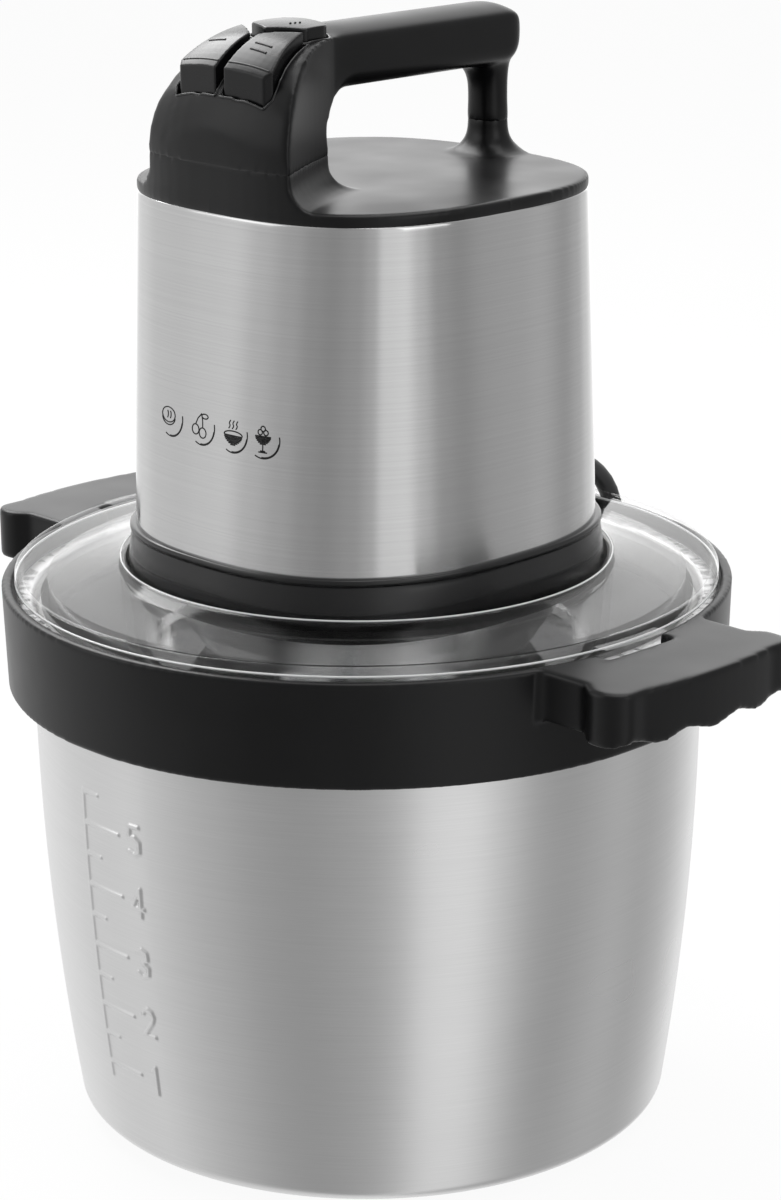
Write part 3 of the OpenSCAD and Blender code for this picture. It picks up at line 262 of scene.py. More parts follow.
# For each function above, its finishes by slot: name, two tones, roughness and what else it asks
FINISHES = {
    brushed_steel: {
        # Deep drawn, then satin polished: silky, with broad upright highlights
        "bowl_steel": (
            "Stainless steel, satin drawn", "#D7D7D7", "#DDDDDD", 0.30, 0.35, 30, 0.55, 0.025),
        # Brushed round the sleeve: level hairlines draw each light out into an upright band.
        # Real brushing is finer than 0.1 mm, so it is drawn coarser to show
        "shell_steel": (
            "Stainless steel, brushed round", "#C6C6C6", "#CDCDCD", 0.17, 0.3, 110, 0.75, 0.022),
        # Pressed from bright sheet: light, and mirrors the bowl's inside softly
        "pan_steel": ("Stainless steel, pressed", "#E8E8E8", "#EEEEEE", 0.2, 0.4, 25, 0.3, 0.02),
    },
    grained_plastic: {
        # Moulded in a finely grained tool: near black, with soft broad highlights
        "black_plastic": (
            "ABS, black satin moulded", "#0A0A0B", "#0F0F10", 0.33, 0.6, 0.08, 0.26),
        # The buttons' tool is smoother: their tops shine more
        "button_plastic": (
            "ABS, black smooth moulded", "#0B0B0C", "#101011", 0.28, 0.6, 0.05, 0.3),
        # The ring at the sleeve's foot is polished, so it takes long highlights
        "ring_gloss": ("ABS, black polished", "#0B0B0C", "#101011", 0.22, 0.6, 0.04, 0.5),
        # Glass fibre dulls the nylon to a dark grey
        "hub_plastic": ("Nylon, black glass filled", "#1F1F20", "#2A2A2B", 0.48, 0.7, 0.2),
        # Uncoloured acetal: milky, waxy white
        "light_plastic": ("Acetal, natural", "#D6D2C6", "#DEDACE", 0.42, 0.6, 0.08),
        # The gears' acetal is a shade creamier
        "gear_plastic": ("Acetal, moulded gear", "#D9D3BE", "#E3DDC9", 0.38, 0.6, 0.08),
        # Soft cord jacket: black, with a dull sheen along its top
        "black_rubber": ("PVC, black soft", "#0F0F10", "#151516", 0.46, 0.8, 0.18),
        # Cured silicone: matt light grey
        "grey_rubber": ("Silicone rubber, grey", "#B9B9B6", "#C6C6C3", 0.55, 0.7, 0.12),
        # Pressed phenolic and carbon: dull, slightly blue black
        "carbon": ("Phenolic, black pressed", "#17171A", "#232327", 0.55, 0.5, 0.25),
        # Solder lacquer over the board: glossy dark green
        "board_green": ("Circuit board lacquer", "#0E4526", "#145A31", 0.28, 1.2, 0.08),
        # Painted highlight: near-white beads stand in for the light that the clear lid's rounded rim
        # and recess edge gather
        "lid_edge_highlight": ("Styrene edge, painted highlight", "#DDDEDE", "#E6E7E7", 0.14, 1.0, 0.02, 0.6),
    },
    machined_metal: {
        # Ground and polished: the brightest metal of the inside
        "blade_steel": ("Stainless steel, ground blade", "#C2C4C6", "#D8DADC", 0.22, 0.35),
        # Turned steel: mid grey, with rings of the tool
        "machined_steel": ("Steel, turned", "#9C9C9E", "#B2B2B4", 0.30, 0.4),
        # Zinc plate: pale, slightly warm shine
        "screw_steel": ("Steel, zinc plated", "#B4B4B2", "#CCCCCA", 0.28, 0.3),
        # As cast: soft grey without a clear mirror
        "cast_alloy": ("Zinc alloy, die cast", "#A8A8A9", "#BEBEBF", 0.46, 0.9),
        # Stacked sheets: dark, with the level lines of the stack
        "core_steel": ("Silicon steel, stacked sheet", "#4A4C50", "#6A6C70", 0.45, 0.5),
        # Enamel over copper wire: glossy red brown, with the run of the wire
        "copper": ("Copper, enamelled winding", "#A8552B", "#D0793F", 0.30, 0.8),
        # Pressed brass: warm yellow with a clear shine
        "brass": ("Brass, pressed", "#B99147", "#D2AC60", 0.27, 0.4),
        # Sintered and oily: dull brown
        "bronze": ("Bronze, sintered", "#8D6A3E", "#A98252", 0.48, 0.5),
    },
    clear_plastic: {
        # Polished clear sheet: seen through, with bright mirrors at low angles
        "clear_plastic": ("Styrene, clear polished",),
    },
}


def make_materials():
    """Every finish of the part, by the name of its slot."""
    for finish, rows in FINISHES.items():
        for slot, row in rows.items():
            MATERIALS[slot] = finish(*row)


# ---------------------------------------------------------------- meshes

def linked(name, data):
    """A new object of the scene from its mesh, lamp or camera data."""
    made = bpy.data.objects.new(name, data)
    bpy.context.scene.collection.objects.link(made)
    return made


def make_object(name, skin, slot, body, replaces, smooth_deg):
    """A finished mesh piece from its (points in millimetres, faces), riding on a body."""
    verts, faces = skin
    mesh = bpy.data.meshes.new(name)
    mesh.from_pydata([(x * MM, y * MM, z * MM) for x, y, z in verts], [], faces)
    mesh.validate()
    return dress(linked(name, mesh), slot, body, replaces, smooth_deg)


def dress(piece, slot, body, replaces, smooth_deg=35):
    """Gives a piece outward normals, smooth shading, its finish and its body."""
    form = bmesh.new()
    form.from_mesh(piece.data)
    bmesh.ops.remove_doubles(form, verts=form.verts, dist=0.002 * MM)
    bmesh.ops.dissolve_degenerate(form, edges=form.edges, dist=0.0005 * MM)
    bmesh.ops.recalc_face_normals(form, faces=form.faces)
    form.to_mesh(piece.data)
    form.free()
    piece.data.shade_smooth()
    piece.data.set_sharp_from_angle(angle=math.radians(smooth_deg))
    piece.data.materials.clear()
    piece.data.materials.append(MATERIALS[slot])
    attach(piece, body)
    if replaces:
        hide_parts(*replaces)
    return piece


def copy_of(node, name):
    """A merged copy of a CAD node's mesh, linked and ready to shape."""
    piece = linked(name, NODES[node].data.copy())
    form = bmesh.new()
    form.from_mesh(piece.data)
    bmesh.ops.remove_doubles(form, verts=form.verts, dist=0.002 * MM)
    form.to_mesh(piece.data)
    form.free()
    return piece


def bake(piece):
    """Turns a piece's modifiers into its own plain mesh."""
    graph = bpy.context.evaluated_depsgraph_get()
    mesh = bpy.data.meshes.new_from_object(piece.evaluated_get(graph), depsgraph=graph)
    piece.modifiers.clear()
    piece.data = mesh
    return piece


def softened(node, name, voxel_mm, passes, slot, body, seam=None, keep=1.0):
    """A moulded look: the node's shape with every edge rounded a little; a seam stays closed."""
    piece = copy_of(node, name)
    remesh = piece.modifiers.new("Round", "REMESH")
    remesh.mode = "VOXEL"
    remesh.voxel_size = voxel_mm * MM
    remesh.adaptivity = 0.0
    relax = piece.modifiers.new("Relax", "SMOOTH")
    relax.factor = 0.5
    relax.iterations = passes
    if keep < 1:
        piece.modifiers.new("Thin", "DECIMATE").ratio = keep
    bake(piece)
    if seam is not None:
        pull = SEAM_REACH / (SEAM_REACH - SEAM_FLAT)
        for v in piece.data.vertices:
            off = v.co.z / MM - seam
            if abs(off) < SEAM_REACH:
                drawn = max(-SEAM_LAP, (abs(off) - SEAM_FLAT) * pull)
                v.co.z = (seam + math.copysign(1.0, off) * drawn) * MM
    return dress(piece, slot, body, (node,), 60)


def ring_faces(rings, per_ring, closed=False):
    """Faces of a skin through rings of points: closed on itself, or capped at both ends."""
    faces = []
    last = rings if closed else rings - 1
    for j in range(last):
        k = (j + 1) % rings
        for i in range(per_ring):
            n = (i + 1) % per_ring
            faces.append((j * per_ring + i, j * per_ring + n, k * per_ring + n, k * per_ring + i))
    if not closed:
        faces.append(tuple(reversed(range(per_ring))))
        faces.append(tuple((rings - 1) * per_ring + i for i in range(per_ring)))
    return faces


def circle(n):
    """Cosine and sine of n even steps round a circle."""
    return [(math.cos(2 * math.pi * i / n), math.sin(2 * math.pi * i / n)) for i in range(n)]


def turned(profile, steps):
    """A body of revolution from a closed profile of (radius, height) points."""
    verts = [(r * c, r * s, z) for r, z in profile for c, s in circle(steps)]
    return verts, ring_faces(len(profile), steps, True)


def squarish(a, b, e, n):
    """A rounded square; a larger e is squarer."""
    return [(a * math.copysign(abs(c) ** (2 / e), c), b * math.copysign(abs(s) ** (2 / e), s))
            for c, s in circle(n)]


def shell_size(z):
    """Half width, half depth and squareness of the sleeve's plan at height z."""
    k = (z - SHELL_Z) / (COVER_Z - SHELL_Z)
    return tuple(foot + gain * k for foot, gain in zip(SHELL_FOOT, SHELL_GAIN))


def shell_front(x, z):
    """Depth of the sleeve's front face at x and z."""
    a, b, e = shell_size(z)
    return -b * (1 - (abs(x) / a) ** e) ** (1 / e)


def tube(points, radius, sides):
    """A round tube through points, without twist."""
    pts = [Vector(p) for p in points]
    n = len(pts)
    verts = []
    side = None
    for i, p in enumerate(pts):
        ahead = (pts[min(i + 1, n - 1)] - pts[max(i - 1, 0)]).normalized()
        if side is None:
            side = ahead.orthogonal().normalized()
        side = (side - ahead * side.dot(ahead)).normalized()
        up = ahead.cross(side)
        verts += [tuple(p + radius * (c * side + s * up)) for c, s in circle(sides)]
    return verts, ring_faces(n, sides)


def joined(parts):
    """Several (verts, faces) pairs as one."""
    verts, faces = [], []
    for v, f in parts:
        base = len(verts)
        verts += v
        faces += [tuple(base + i for i in face) for face in f]
    return verts, faces


def smooth_path(points, step):
    """A curve through points (uniform Catmull-Rom), one point about every step."""
    p = [np.array(q, float) for q in points]
    p = [2 * p[0] - p[1]] + p + [2 * p[-1] - p[-2]]
    out = []
    for i in range(1, len(p) - 2):
        n = max(1, round(float(np.linalg.norm(p[i + 1] - p[i])) / step))
        for k in range(n):
            t = k / n
            out.append(0.5 * (2 * p[i] + (p[i + 1] - p[i - 1]) * t
                              + (2 * p[i - 1] - 5 * p[i] + 4 * p[i + 1] - p[i + 2]) * t ** 2
                              + (3 * p[i] - p[i - 1] - 3 * p[i + 1] + p[i + 2]) * t ** 3))
    out.append(p[-2])
    return [tuple(float(c) for c in q) for q in out]


# ---------------------------------------------------------------- geometry nodes

def new_tree(name, inputs):
    """A Geometry Nodes tree with named inputs (None for a material), and its input node."""
    tree = bpy.data.node_groups.new(name, "GeometryNodeTree")
    tree.interface.new_socket("Geometry", in_out="INPUT", socket_type="NodeSocketGeometry")
    for label, default in inputs.items():
        kind = "NodeSocketMaterial" if default is None else "NodeSocketFloat"
        socket = tree.interface.new_socket(label, in_out="INPUT", socket_type=kind)
        if default is not None:
            socket.default_value = default
    tree.interface.new_socket("Geometry", in_out="OUTPUT", socket_type="NodeSocketGeometry")
    return tree, add_node(tree, "NodeGroupInput")


def end_tree(tree, start, curve, sides, radius):
    """A round wire along the curve, then Realize Instances, Set Material and out."""
    section = add_node(tree, "GeometryNodeCurvePrimitiveCircle", {
        "Resolution": sides, "Radius": start.outputs[radius]})
    skin = add_node(tree, "GeometryNodeCurveToMesh", {
        "Curve": curve, "Profile Curve": section.outputs["Curve"], "Fill Caps": True})
    solid = add_node(tree, "GeometryNodeRealizeInstances", {"Geometry": skin.outputs["Mesh"]})
    painted = add_node(tree, "GeometryNodeSetMaterial", {
        "Geometry": solid.outputs["Geometry"], "Material": start.outputs["Material"]})
    add_node(tree, "NodeGroupOutput", {"Geometry": painted.outputs["Geometry"]})
    return tree


def bead_tree():
    """A round bead of a given radius along the piece's own edges."""
    tree, start = new_tree("Bead along a path", {"Radius": 0.0005, "Step": 0.0006, "Material": None})
    path = add_node(tree, "GeometryNodeMeshToCurve", {"Mesh": start.outputs["Geometry"]})
    even = add_node(tree, "GeometryNodeResampleCurve", {
        "Curve": path.outputs["Curve"], "Length": start.outputs["Step"]}, mode="LENGTH")
    return end_tree(tree, start, even.outputs["Curve"], 10, "Radius")


def spring_tree():
    """An open coil spring standing on its lower end."""
    tree, start = new_tree("Coil spring", {
        "Turns": 6.0, "Radius": 0.0033, "Height": 0.012, "Wire": 0.00035, "Material": None})
    line = add_node(tree, "GeometryNodeCurveSpiral", {
        "Resolution": 24, "Rotations": start.outputs["Turns"], "Start Radius": start.outputs["Radius"],
        "End Radius": start.outputs["Radius"], "Height": start.outputs["Height"]})
    return end_tree(tree, start, line.outputs["Curve"], 8, "Wire")


def set_inputs(modifier, tree, values):
    """Sets a modifier's inputs by the identifiers of their sockets."""
    modifier.node_group = tree
    for item in tree.interface.items_tree:
        if item.item_type == "SOCKET" and item.in_out == "INPUT" and item.name in values:
            modifier[item.identifier] = values[item.name]


TREES = {}


def bead(name, paths, radius_mm, slot, body, closed=False):
    """Beads along paths (millimetres), made by the bead tree."""
    verts, edges = [], []
    for path in paths:
        base = len(verts)
        verts += [(x * MM, y * MM, z * MM) for x, y, z in path]
        edges += [(base + i, base + i + 1) for i in range(len(path) - 1)]
        if closed:
            edges.append((base + len(path) - 1, base))
    mesh = bpy.data.meshes.new(name)
    mesh.from_pydata(verts, edges, [])
    piece = linked(name, mesh)
    set_inputs(piece.modifiers.new("Bead", "NODES"), TREES["bead"], {
        "Radius": radius_mm * MM, "Step": 0.6 * MM, "Material": MATERIALS[slot]})
    bake(piece)
    return dress(piece, slot, body, (), 60)


# ---------------------------------------------------------------- settings

class ChopperSizes(bpy.types.PropertyGroup):
    """Sizes that only the looks have."""

    mark_height: FloatProperty(
        name="Mark height", description="How far the raised marks stand above the buttons",
        default=0.35 * MM, unit="LENGTH")
    rim_bead: FloatProperty(
        name="Rim bead", description="Radius of the bead round the button openings",
        default=0.45 * MM, unit="LENGTH")
    emboss: FloatProperty(
        name="Embossing", description="Height of the bowl's embossed level scale",
        default=0.55 * MM, unit="LENGTH")
    cord_diameter: FloatProperty(
        name="Cord diameter", description="Outer diameter of the mains cord",
        default=7 * MM, unit="LENGTH")


class ChopperColours(bpy.types.PropertyGroup):
    """Colours of the stage."""

    floor: FloatVectorProperty(
        name="Floor", description="Colour of the floor", subtype="COLOR",
        default=hex_rgb("#FAFAFA"), min=0, max=1)
    backdrop: FloatVectorProperty(
        name="Backdrop", description="Colour behind the floor", subtype="COLOR",
        default=hex_rgb("#FFFFFF"), min=0, max=1)


# ---------------------------------------------------------------- stage

class CHOPPER_OT_stage(bpy.types.Operator):
    """Makes the camera, the lights, the world and the floor"""

    bl_idname = "chopper.stage"
    bl_label = "Set the stage"

    def execute(self, context):
        scene = context.scene
        scene.view_settings.view_transform = "Standard"
        make_camera(scene)
        make_world(scene)
        make_floor(scene)
        # Places in metres, the side of each softbox and its power in watts
        area_light("Key softbox", (-1.13, 0.14, 1.34), (0, -0.05, 0.37), 0.85, 13.5)
        area_light("Front softbox", (-1.3, -1.7, 1.2), (0, 0, 0.2), 1.2, 4)
        area_light("Fill softbox", (1.9, 0.2, 1.0), (0, 0, 0.2), 1.2, 4.5)
        area_light("Top softbox", (0.1, 0.3, 2.0), (0, 0, 0.3), 1.4, 12)
        return {"FINISHED"}


def make_camera(scene):
    """The photograph's viewpoint, with its focal length and height in the photo's pixels."""
    focal, height = 3394, 1200
    data = bpy.data.cameras.new("Camera")
    data.sensor_fit = "VERTICAL"
    data.sensor_height = 36
    data.lens = focal * data.sensor_height / height
    data.clip_start = 0.05
    camera = linked("Camera", data)
    camera.matrix_world = Matrix((
        (0.693845, -0.207526, 0.689574, 0.812589), (0.720072, 0.211568, -0.66086, -0.767636),
        (-0.008746, 0.955077, 0.296229, 0.527516), (0, 0, 0, 1)))
    scene.camera = camera


def make_world(scene):
    """A white studio. Its walls have softer and brighter stretches, which only gloss sees."""
    world = bpy.data.worlds.new("Studio")
    world.use_nodes = True
    scene.world = world
    tree = world.node_tree
    tree.nodes.clear()
    path = add_node(tree, "ShaderNodeLightPath").outputs
    ways = add_node(tree, "ShaderNodeTexCoord").outputs["Generated"]
    parts = add_node(tree, "ShaderNodeSeparateXYZ", {"Vector": ways}).outputs
    turn = add_node(tree, "ShaderNodeMath", {0: parts["Y"], 1: parts["X"]}, operation="ARCTAN2")
    share = add_node(tree, "ShaderNodeMapRange", {
        "Value": turn.outputs[0], "From Min": -math.pi, "From Max": math.pi}).outputs["Result"]
    ramp = add_node(tree, "ShaderNodeValToRGB", {"Fac": share})
    ramp.color_ramp.interpolation = "EASE"
    # Azimuth in degrees and how bright the studio is there
    walls = [(-180, 0.92), (-162, 0.82), (-145, 0.80), (-133, 0.88), (-120, 0.68), (-100, 0.54),
             (-82, 0.42), (-68, 0.38), (-46, 0.45), (-33, 0.58), (-24, 0.93), (-8, 0.98), (4, 0.70),
             (16, 0.44), (28, 0.39), (42, 0.49), (52, 0.58), (68, 0.46), (84, 0.58), (98, 0.80),
             (114, 1.0), (180, 0.92)]
    while len(ramp.color_ramp.elements) < len(walls):
        ramp.color_ramp.elements.new(0.5)
    for element, (azimuth, level) in zip(ramp.color_ramp.elements, walls):
        element.position = (azimuth + 180) / 360
        element.color = (level, level, level, 1)
    plain = add_node(tree, "ShaderNodeMath", {
        0: path["Is Camera Ray"], 1: path["Is Transmission Ray"]}, operation="MAXIMUM")
    # A large backlit wall behind the object makes its level tops shine
    behind = add_node(tree, "ShaderNodeVectorMath", {0: ways, 1: (-0.70, 0.66, 0.29)},
                      operation="DOT_PRODUCT")
    lift = add_node(tree, "ShaderNodeMapRange", {
        "Value": behind.outputs["Value"], "From Min": 0.80, "From Max": 0.97, "To Min": 1.0,
        "To Max": 1.9})
    shine = add_node(tree, "ShaderNodeVectorMath", {
        0: ramp.outputs["Color"], "Scale": lift.outputs["Result"]}, operation="SCALE")
    white = (*scene.chopper_colours.backdrop, 1)
    gloss = add_node(tree, "ShaderNodeMixRGB", {
        "Fac": path["Is Glossy Ray"], "Color1": (0.6, 0.6, 0.6, 1), "Color2": shine.outputs["Vector"]})
    seen = add_node(tree, "ShaderNodeMixRGB", {
        "Fac": plain.outputs[0], "Color1": gloss.outputs["Color"], "Color2": white})
    ground = add_node(tree, "ShaderNodeBackground", {"Color": seen.outputs["Color"], "Strength": 1.0})
    add_node(tree, "ShaderNodeOutputWorld", {"Surface": ground.outputs["Background"]})


def make_floor(scene):
    """A pale floor that keeps the shadow and is white to the camera."""
    made, tree = new_material("Floor, pale matt")
    path = add_node(tree, "ShaderNodeLightPath").outputs
    plain = add_node(tree, "ShaderNodeMath", {
        0: path["Is Camera Ray"], 1: path["Is Transmission Ray"]}, operation="MAXIMUM")
    # The camera gets 0.92 plain white and the rest from the lit floor, which carries the shadow
    share = add_node(tree, "ShaderNodeMath", {0: plain.outputs[0], 1: 0.92}, operation="MULTIPLY")
    matt = add_node(tree, "ShaderNodeBsdfDiffuse", {"Color": (*scene.chopper_colours.floor, 1)})
    glow = add_node(tree, "ShaderNodeEmission", {"Color": (1, 1, 1, 1), "Strength": 1.0})
    both = add_node(tree, "ShaderNodeMixShader", {
        0: share.outputs[0], 1: matt.outputs["BSDF"], 2: glow.outputs["Emission"]})
    add_node(tree, "ShaderNodeOutputMaterial", {"Surface": both.outputs["Shader"]})
    steps, radius = 96, 14.0
    verts = [(0, 0, 0)] + [(radius * c, radius * s, 0) for c, s in circle(steps)]
    mesh = bpy.data.meshes.new("Floor")
    mesh.from_pydata(verts, [], [(0, 1 + i, 1 + (i + 1) % steps) for i in range(steps)])
    mesh.materials.append(made)
    floor = linked("Floor", mesh)
    # A little under the object, so that the two don't lie in one plane
    floor.location.z = -0.2 * MM
    floor.visible_glossy = False


def area_light(name, at, to, size, power):
    """A square softbox aimed at a point."""
    data = bpy.data.lights.new(name, "AREA")
    data.shape = "SQUARE"
    data.size = size
    data.energy = power
    lamp = linked(name, data)
    lamp.location = at
    lamp.rotation_euler = (Vector(to) - Vector(at)).to_track_quat("-Z", "Y").to_euler()


# ---------------------------------------------------------------- cord

def eased(at, stops):
    """The value at a place between (place, value) stops, with soft changes."""
    for (a0, v0), (a1, v1) in zip(stops, stops[1:]):
        if at <= a1:
            k = min(1, max(0, (at - a0) / (a1 - a0)))
            return v0 + (v1 - v0) * k * k * (3 - 2 * k)
    return stops[-1][1]


def coil_path():
    """The cord's line from the route into two layers of turns, and on to the plug."""
    start, end, steps = 34, 1260, 123
    # Radius and height of the line at each angle: the outer turn and the inner turns, then back up
    radii = [(34, 45.8), (70, 42), (334, 42), (394, 35), (950, 35), (1040, 42), (1260, 42)]
    heights = [(34, 4), (70, 3.5), (634, 3.5), (724, 10.5), (1260, 10.5)]
    points = []
    for i in range(1, steps + 1):
        a = start + (end - start) * i / steps
        r = eased(a, radii)
        points.append((COIL_AT[0] + r * math.cos(math.radians(a)),
                       COIL_AT[1] + r * math.sin(math.radians(a)), eased(a, heights)))
    points += [(PLUG_AT[0], 138, PLUG_AT[2]), (PLUG_AT[0], 128, PLUG_AT[2]), PLUG_AT]
    return points


class CHOPPER_OT_cord(bpy.types.Operator):
    """Makes the mains cord, its ribbed boot and its plug"""

    bl_idname = "chopper.cord"
    bl_label = "Make the cord"

    def execute(self, context):
        width = context.scene.chopper_sizes.cord_diameter
        line = smooth_path(CORD_ROUTE, 6) + coil_path()
        flex = make_object("mains_cord", tube(line, width / MM / 2, 14), "black_rubber",
                           "motor_head", ("cord", "cord_coil"), 60)
        boot = make_boot()
        plug = make_plug()
        pins = copy_of("plug_pins", "plug_pins_brass")
        dress(pins, "brass", "motor_head", ("plug_pins",))
        return {"FINISHED"}


def make_boot():
    """The strain relief: a taper with ribs round the cord, along its leaving direction."""
    root = Vector((0, 74, 218.5))
    along = Vector((0, 4, -1)).normalized()
    reach = (Vector((0, 98, 212.5)) - root).length
    side = Vector((1, 0, 0))
    up = along.cross(side)
    # Along the boot and out from its axis: flange and neck in the housing, ribs, rounded mouth
    profile = [(-5, 0.2), (-5, 7.3), (-3.1, 7.3), (-3.1, 5.3), (1.2, 5.3)]
    ribs = 6
    for i in range(ribs):
        s = 2 + (reach - 3) * i / ribs
        r = 5.25 - 0.75 * (i + 0.5) / ribs
        w = (reach - 3) / ribs
        profile += [(s, r), (s + 0.45 * w, r), (s + 0.6 * w, r - 0.75), (s + 0.85 * w, r - 0.75)]
    profile += [(reach - 0.6, 4.5), (reach, 4.1), (reach, 0.2)]
    steps = 40
    verts = [tuple(root + along * at + r * (c * side + s * up))
             for at, r in profile for c, s in circle(steps)]
    return make_object("cord_boot", (verts, ring_faces(len(profile), steps)), "black_rubber",
                       "motor_head", ("strain_relief",), 40)


def make_plug():
    """The two-pin plug: a ribbed neck, a waisted grip and a flat face."""
    def ring(y, a, b, e):
        return [(PLUG_AT[0] + x, PLUG_AT[1] - y, PLUG_AT[2] + z) for x, z in squarish(a, b, e, 64)]

    rings = [ring(0, 4.2, 4.2, 2), ring(0.5, 4.9, 4.9, 2)]
    for i in range(5):
        y, r = 2 + 2.6 * i, 4.9 + 0.4 * i
        rings += [ring(y, r, r, 2), ring(y + 1.2, r, r, 2), ring(y + 1.5, r - 0.7, r - 0.7, 2),
                  ring(y + 2.2, r - 0.7, r - 0.7, 2)]
    # Distance from the neck's end, half width, half height and squareness
    body = [(15.2, 8.4, 6.6, 2.4), (16.2, 10.6, 7.3, 2.8), (18, 12.2, 7.8, 3.2), (21, 12.7, 7.9, 3.4),
            (25, 12.0, 7.4, 3.4), (29, 11.9, 7.3, 3.4), (31.6, 13.4, 8.2, 3.4), (32.8, 15.8, 9.4, 3.4),
            (33.4, 16.8, 9.9, 3.4), (36.2, 16.8, 9.9, 3.4), (36.7, 16.3, 9.4, 3.4)]
    rings += [ring(*row) for row in body]
    verts = [p for r in rings for p in r]
    return make_object("plug_body", (verts, ring_faces(len(rings), 64)), "black_rubber",
                       "motor_head", ("plug",), 40)


# ---------------------------------------------------------------- bowl and lid

def wall_radius(z):
    """Outer radius of the bowl at height z."""
    return BOWL_R - BOWL_TAPER * max(0.0, (COLLAR_LOW - z) / (COLLAR_LOW - FOOT_Z)) ** 2


def foot_points(inset):
    """The bowl's outline from its flat bottom round the foot, as (radius, height)."""
    out = []
    for i in range(25):
        a = math.radians(-90 + 86 * i / 24)
        x = FOOT_FLAT + FOOT_W * math.cos(a)
        out.append((x - inset * (x - FOOT_FLAT) / FOOT_W, FOOT_Z + (FOOT_Z - inset) * math.sin(a)))
    return out


# Where the level scale stands: its azimuth, and the wall's radius that turns angles into lengths
SCALE_AT, SCALE_R = math.radians(-97), 112

# Strokes of plain numerals in a box 1 wide and 2 high
NUMERALS = {
    "1": [[(0.25, 1.6), (0.6, 2), (0.6, 0)]],
    "2": [[(0, 1.55), (0.2, 1.9), (0.5, 2), (0.85, 1.85), (1, 1.5), (0.85, 1.1), (0, 0), (1, 0)]],
    "3": [[(0, 1.75), (0.45, 2), (0.9, 1.8), (0.95, 1.35), (0.45, 1.08), (1, 0.75), (0.95, 0.25),
           (0.5, 0), (0, 0.25)]],
    "4": [[(0.75, 0), (0.75, 2), (0, 0.6), (1, 0.6)]],
    "5": [[(0.9, 2), (0.15, 2), (0.08, 1.15), (0.55, 1.25), (0.95, 0.95), (0.95, 0.3), (0.5, 0),
           (0, 0.2)]],
}


def scale_strokes():
    """The embossed level scale, as strokes in millimetres along the wall and up."""
    strokes = []
    for i, litres in enumerate("12345"):
        # A long line with its numeral, and a short one halfway to the next
        z = 38 + 22 * i
        strokes.append([(-3, z), (15, z)])
        strokes.append([(-3, z + 11), (5, z + 11)])
        for line in NUMERALS[litres]:
            strokes.append([(20 + 5 * x, z - 5 + 5 * y) for x, y in line])
    strokes.append([(-3, 32), (-3, 137)])
    return strokes


def make_bowl():
    """The bowl as one turned sheet, with its level scale pressed outwards."""
    lift = bpy.context.scene.chopper_sizes.emboss / MM
    # Fine steps across the scale and coarse ones round the rest
    left, right = SCALE_AT - 5 / SCALE_R, SCALE_AT + 28 / SCALE_R
    fine = [left + (right - left) * i / 75 for i in range(76)]
    coarse = [right + (2 * math.pi - right + left) * i / 180 for i in range(1, 180)]
    angles = fine + coarse
    # Coarse steps round the foot, fine ones across the scale and a few up to the collar
    heights = [9 + 20 * i / 14 for i in range(1, 14)] + [29 + 0.45 * i for i in range(248)]
    heights += [142, 146, 150, 154, COLLAR_LOW]
    flat = [(r, 0.0) for r in (0.5, 40, 80)]
    foot = foot_points(0)
    outer = flat + foot + [(wall_radius(z), z) for z in heights]
    rim = [(BOWL_R, 172), (BOWL_R, RIM_Z - 2.2), (BOWL_R + 0.4, RIM_Z - 1.2), (BOWL_R + 1.4, RIM_Z - 1),
           (119.4, RIM_Z - 1), (120, RIM_Z - 0.8), (120, RIM_Z - 0.2), (119.6, RIM_Z),
           (BOWL_R + 0.6, RIM_Z), (BOWL_R - 0.6, RIM_Z - 0.6), (BOWL_R - 1, RIM_Z - 1.6)]
    inner = [(BOWL_R - BOWL_T, 172)] + [
        (wall_radius(z) - BOWL_T, z) for z in reversed(heights[::12])]
    inner += list(reversed(foot_points(BOWL_T))) + [(r, BOWL_T) for r in (80, 40, 0.5)]
    profile = outer + rim + inner
    strokes = [(np.array(a), np.array(b)) for line in scale_strokes() for a, b in zip(line, line[1:])]
    u = np.array([(a - SCALE_AT) * SCALE_R for a in angles])
    grid = np.zeros((len(profile), len(angles)))
    for j in range(len(flat) + len(foot), len(outer)):
        z = profile[j][1]
        # Distance of each point from the nearest stroke
        away = np.full(len(angles), 9.0)
        for a, b in strokes:
            if min(a[1], b[1]) - 2 < z < max(a[1], b[1]) + 2:
                d = b - a
                t = np.clip(((u - a[0]) * d[0] + (z - a[1]) * d[1]) / (d @ d), 0, 1)
                away = np.minimum(away, np.hypot(u - a[0] - t * d[0], z - a[1] - t * d[1]))
        k = np.clip(1 - (away - 0.35) / 0.75, 0, 1)
        grid[j] = lift * k * k * (3 - 2 * k)
    verts = []
    for j, (r, z) in enumerate(profile):
        for i, a in enumerate(angles):
            out = r + grid[j][i]
            verts.append((out * math.cos(a), out * math.sin(a), z))
    return make_object("bowl_wall", (verts, ring_faces(len(profile), len(angles))), "bowl_steel",
                       "bowl_body", ("bowl",), 50)


def true_round(collar):
    """Draws the collar's outer wall onto its exact cone, so that it shows no flats."""
    for v in collar.data.vertices:
        x, y, z = v.co / MM
        if COLLAR_LOW + 1 < z < COLLAR_TOP - 1:
            r = math.hypot(x, y)
            cone = COLLAR_R - COLLAR_TAPER * (COLLAR_TOP - z) / (COLLAR_TOP - COLLAR_LOW)
            # Points within 0.12 mm of the cone go onto it, and those past 0.35 mm stay
            share = min(1.0, max(0.0, (0.35 - abs(r - cone)) / (0.35 - 0.12)))
            k = 1 + share * (cone / r - 1)
            v.co.x *= k
            v.co.y *= k


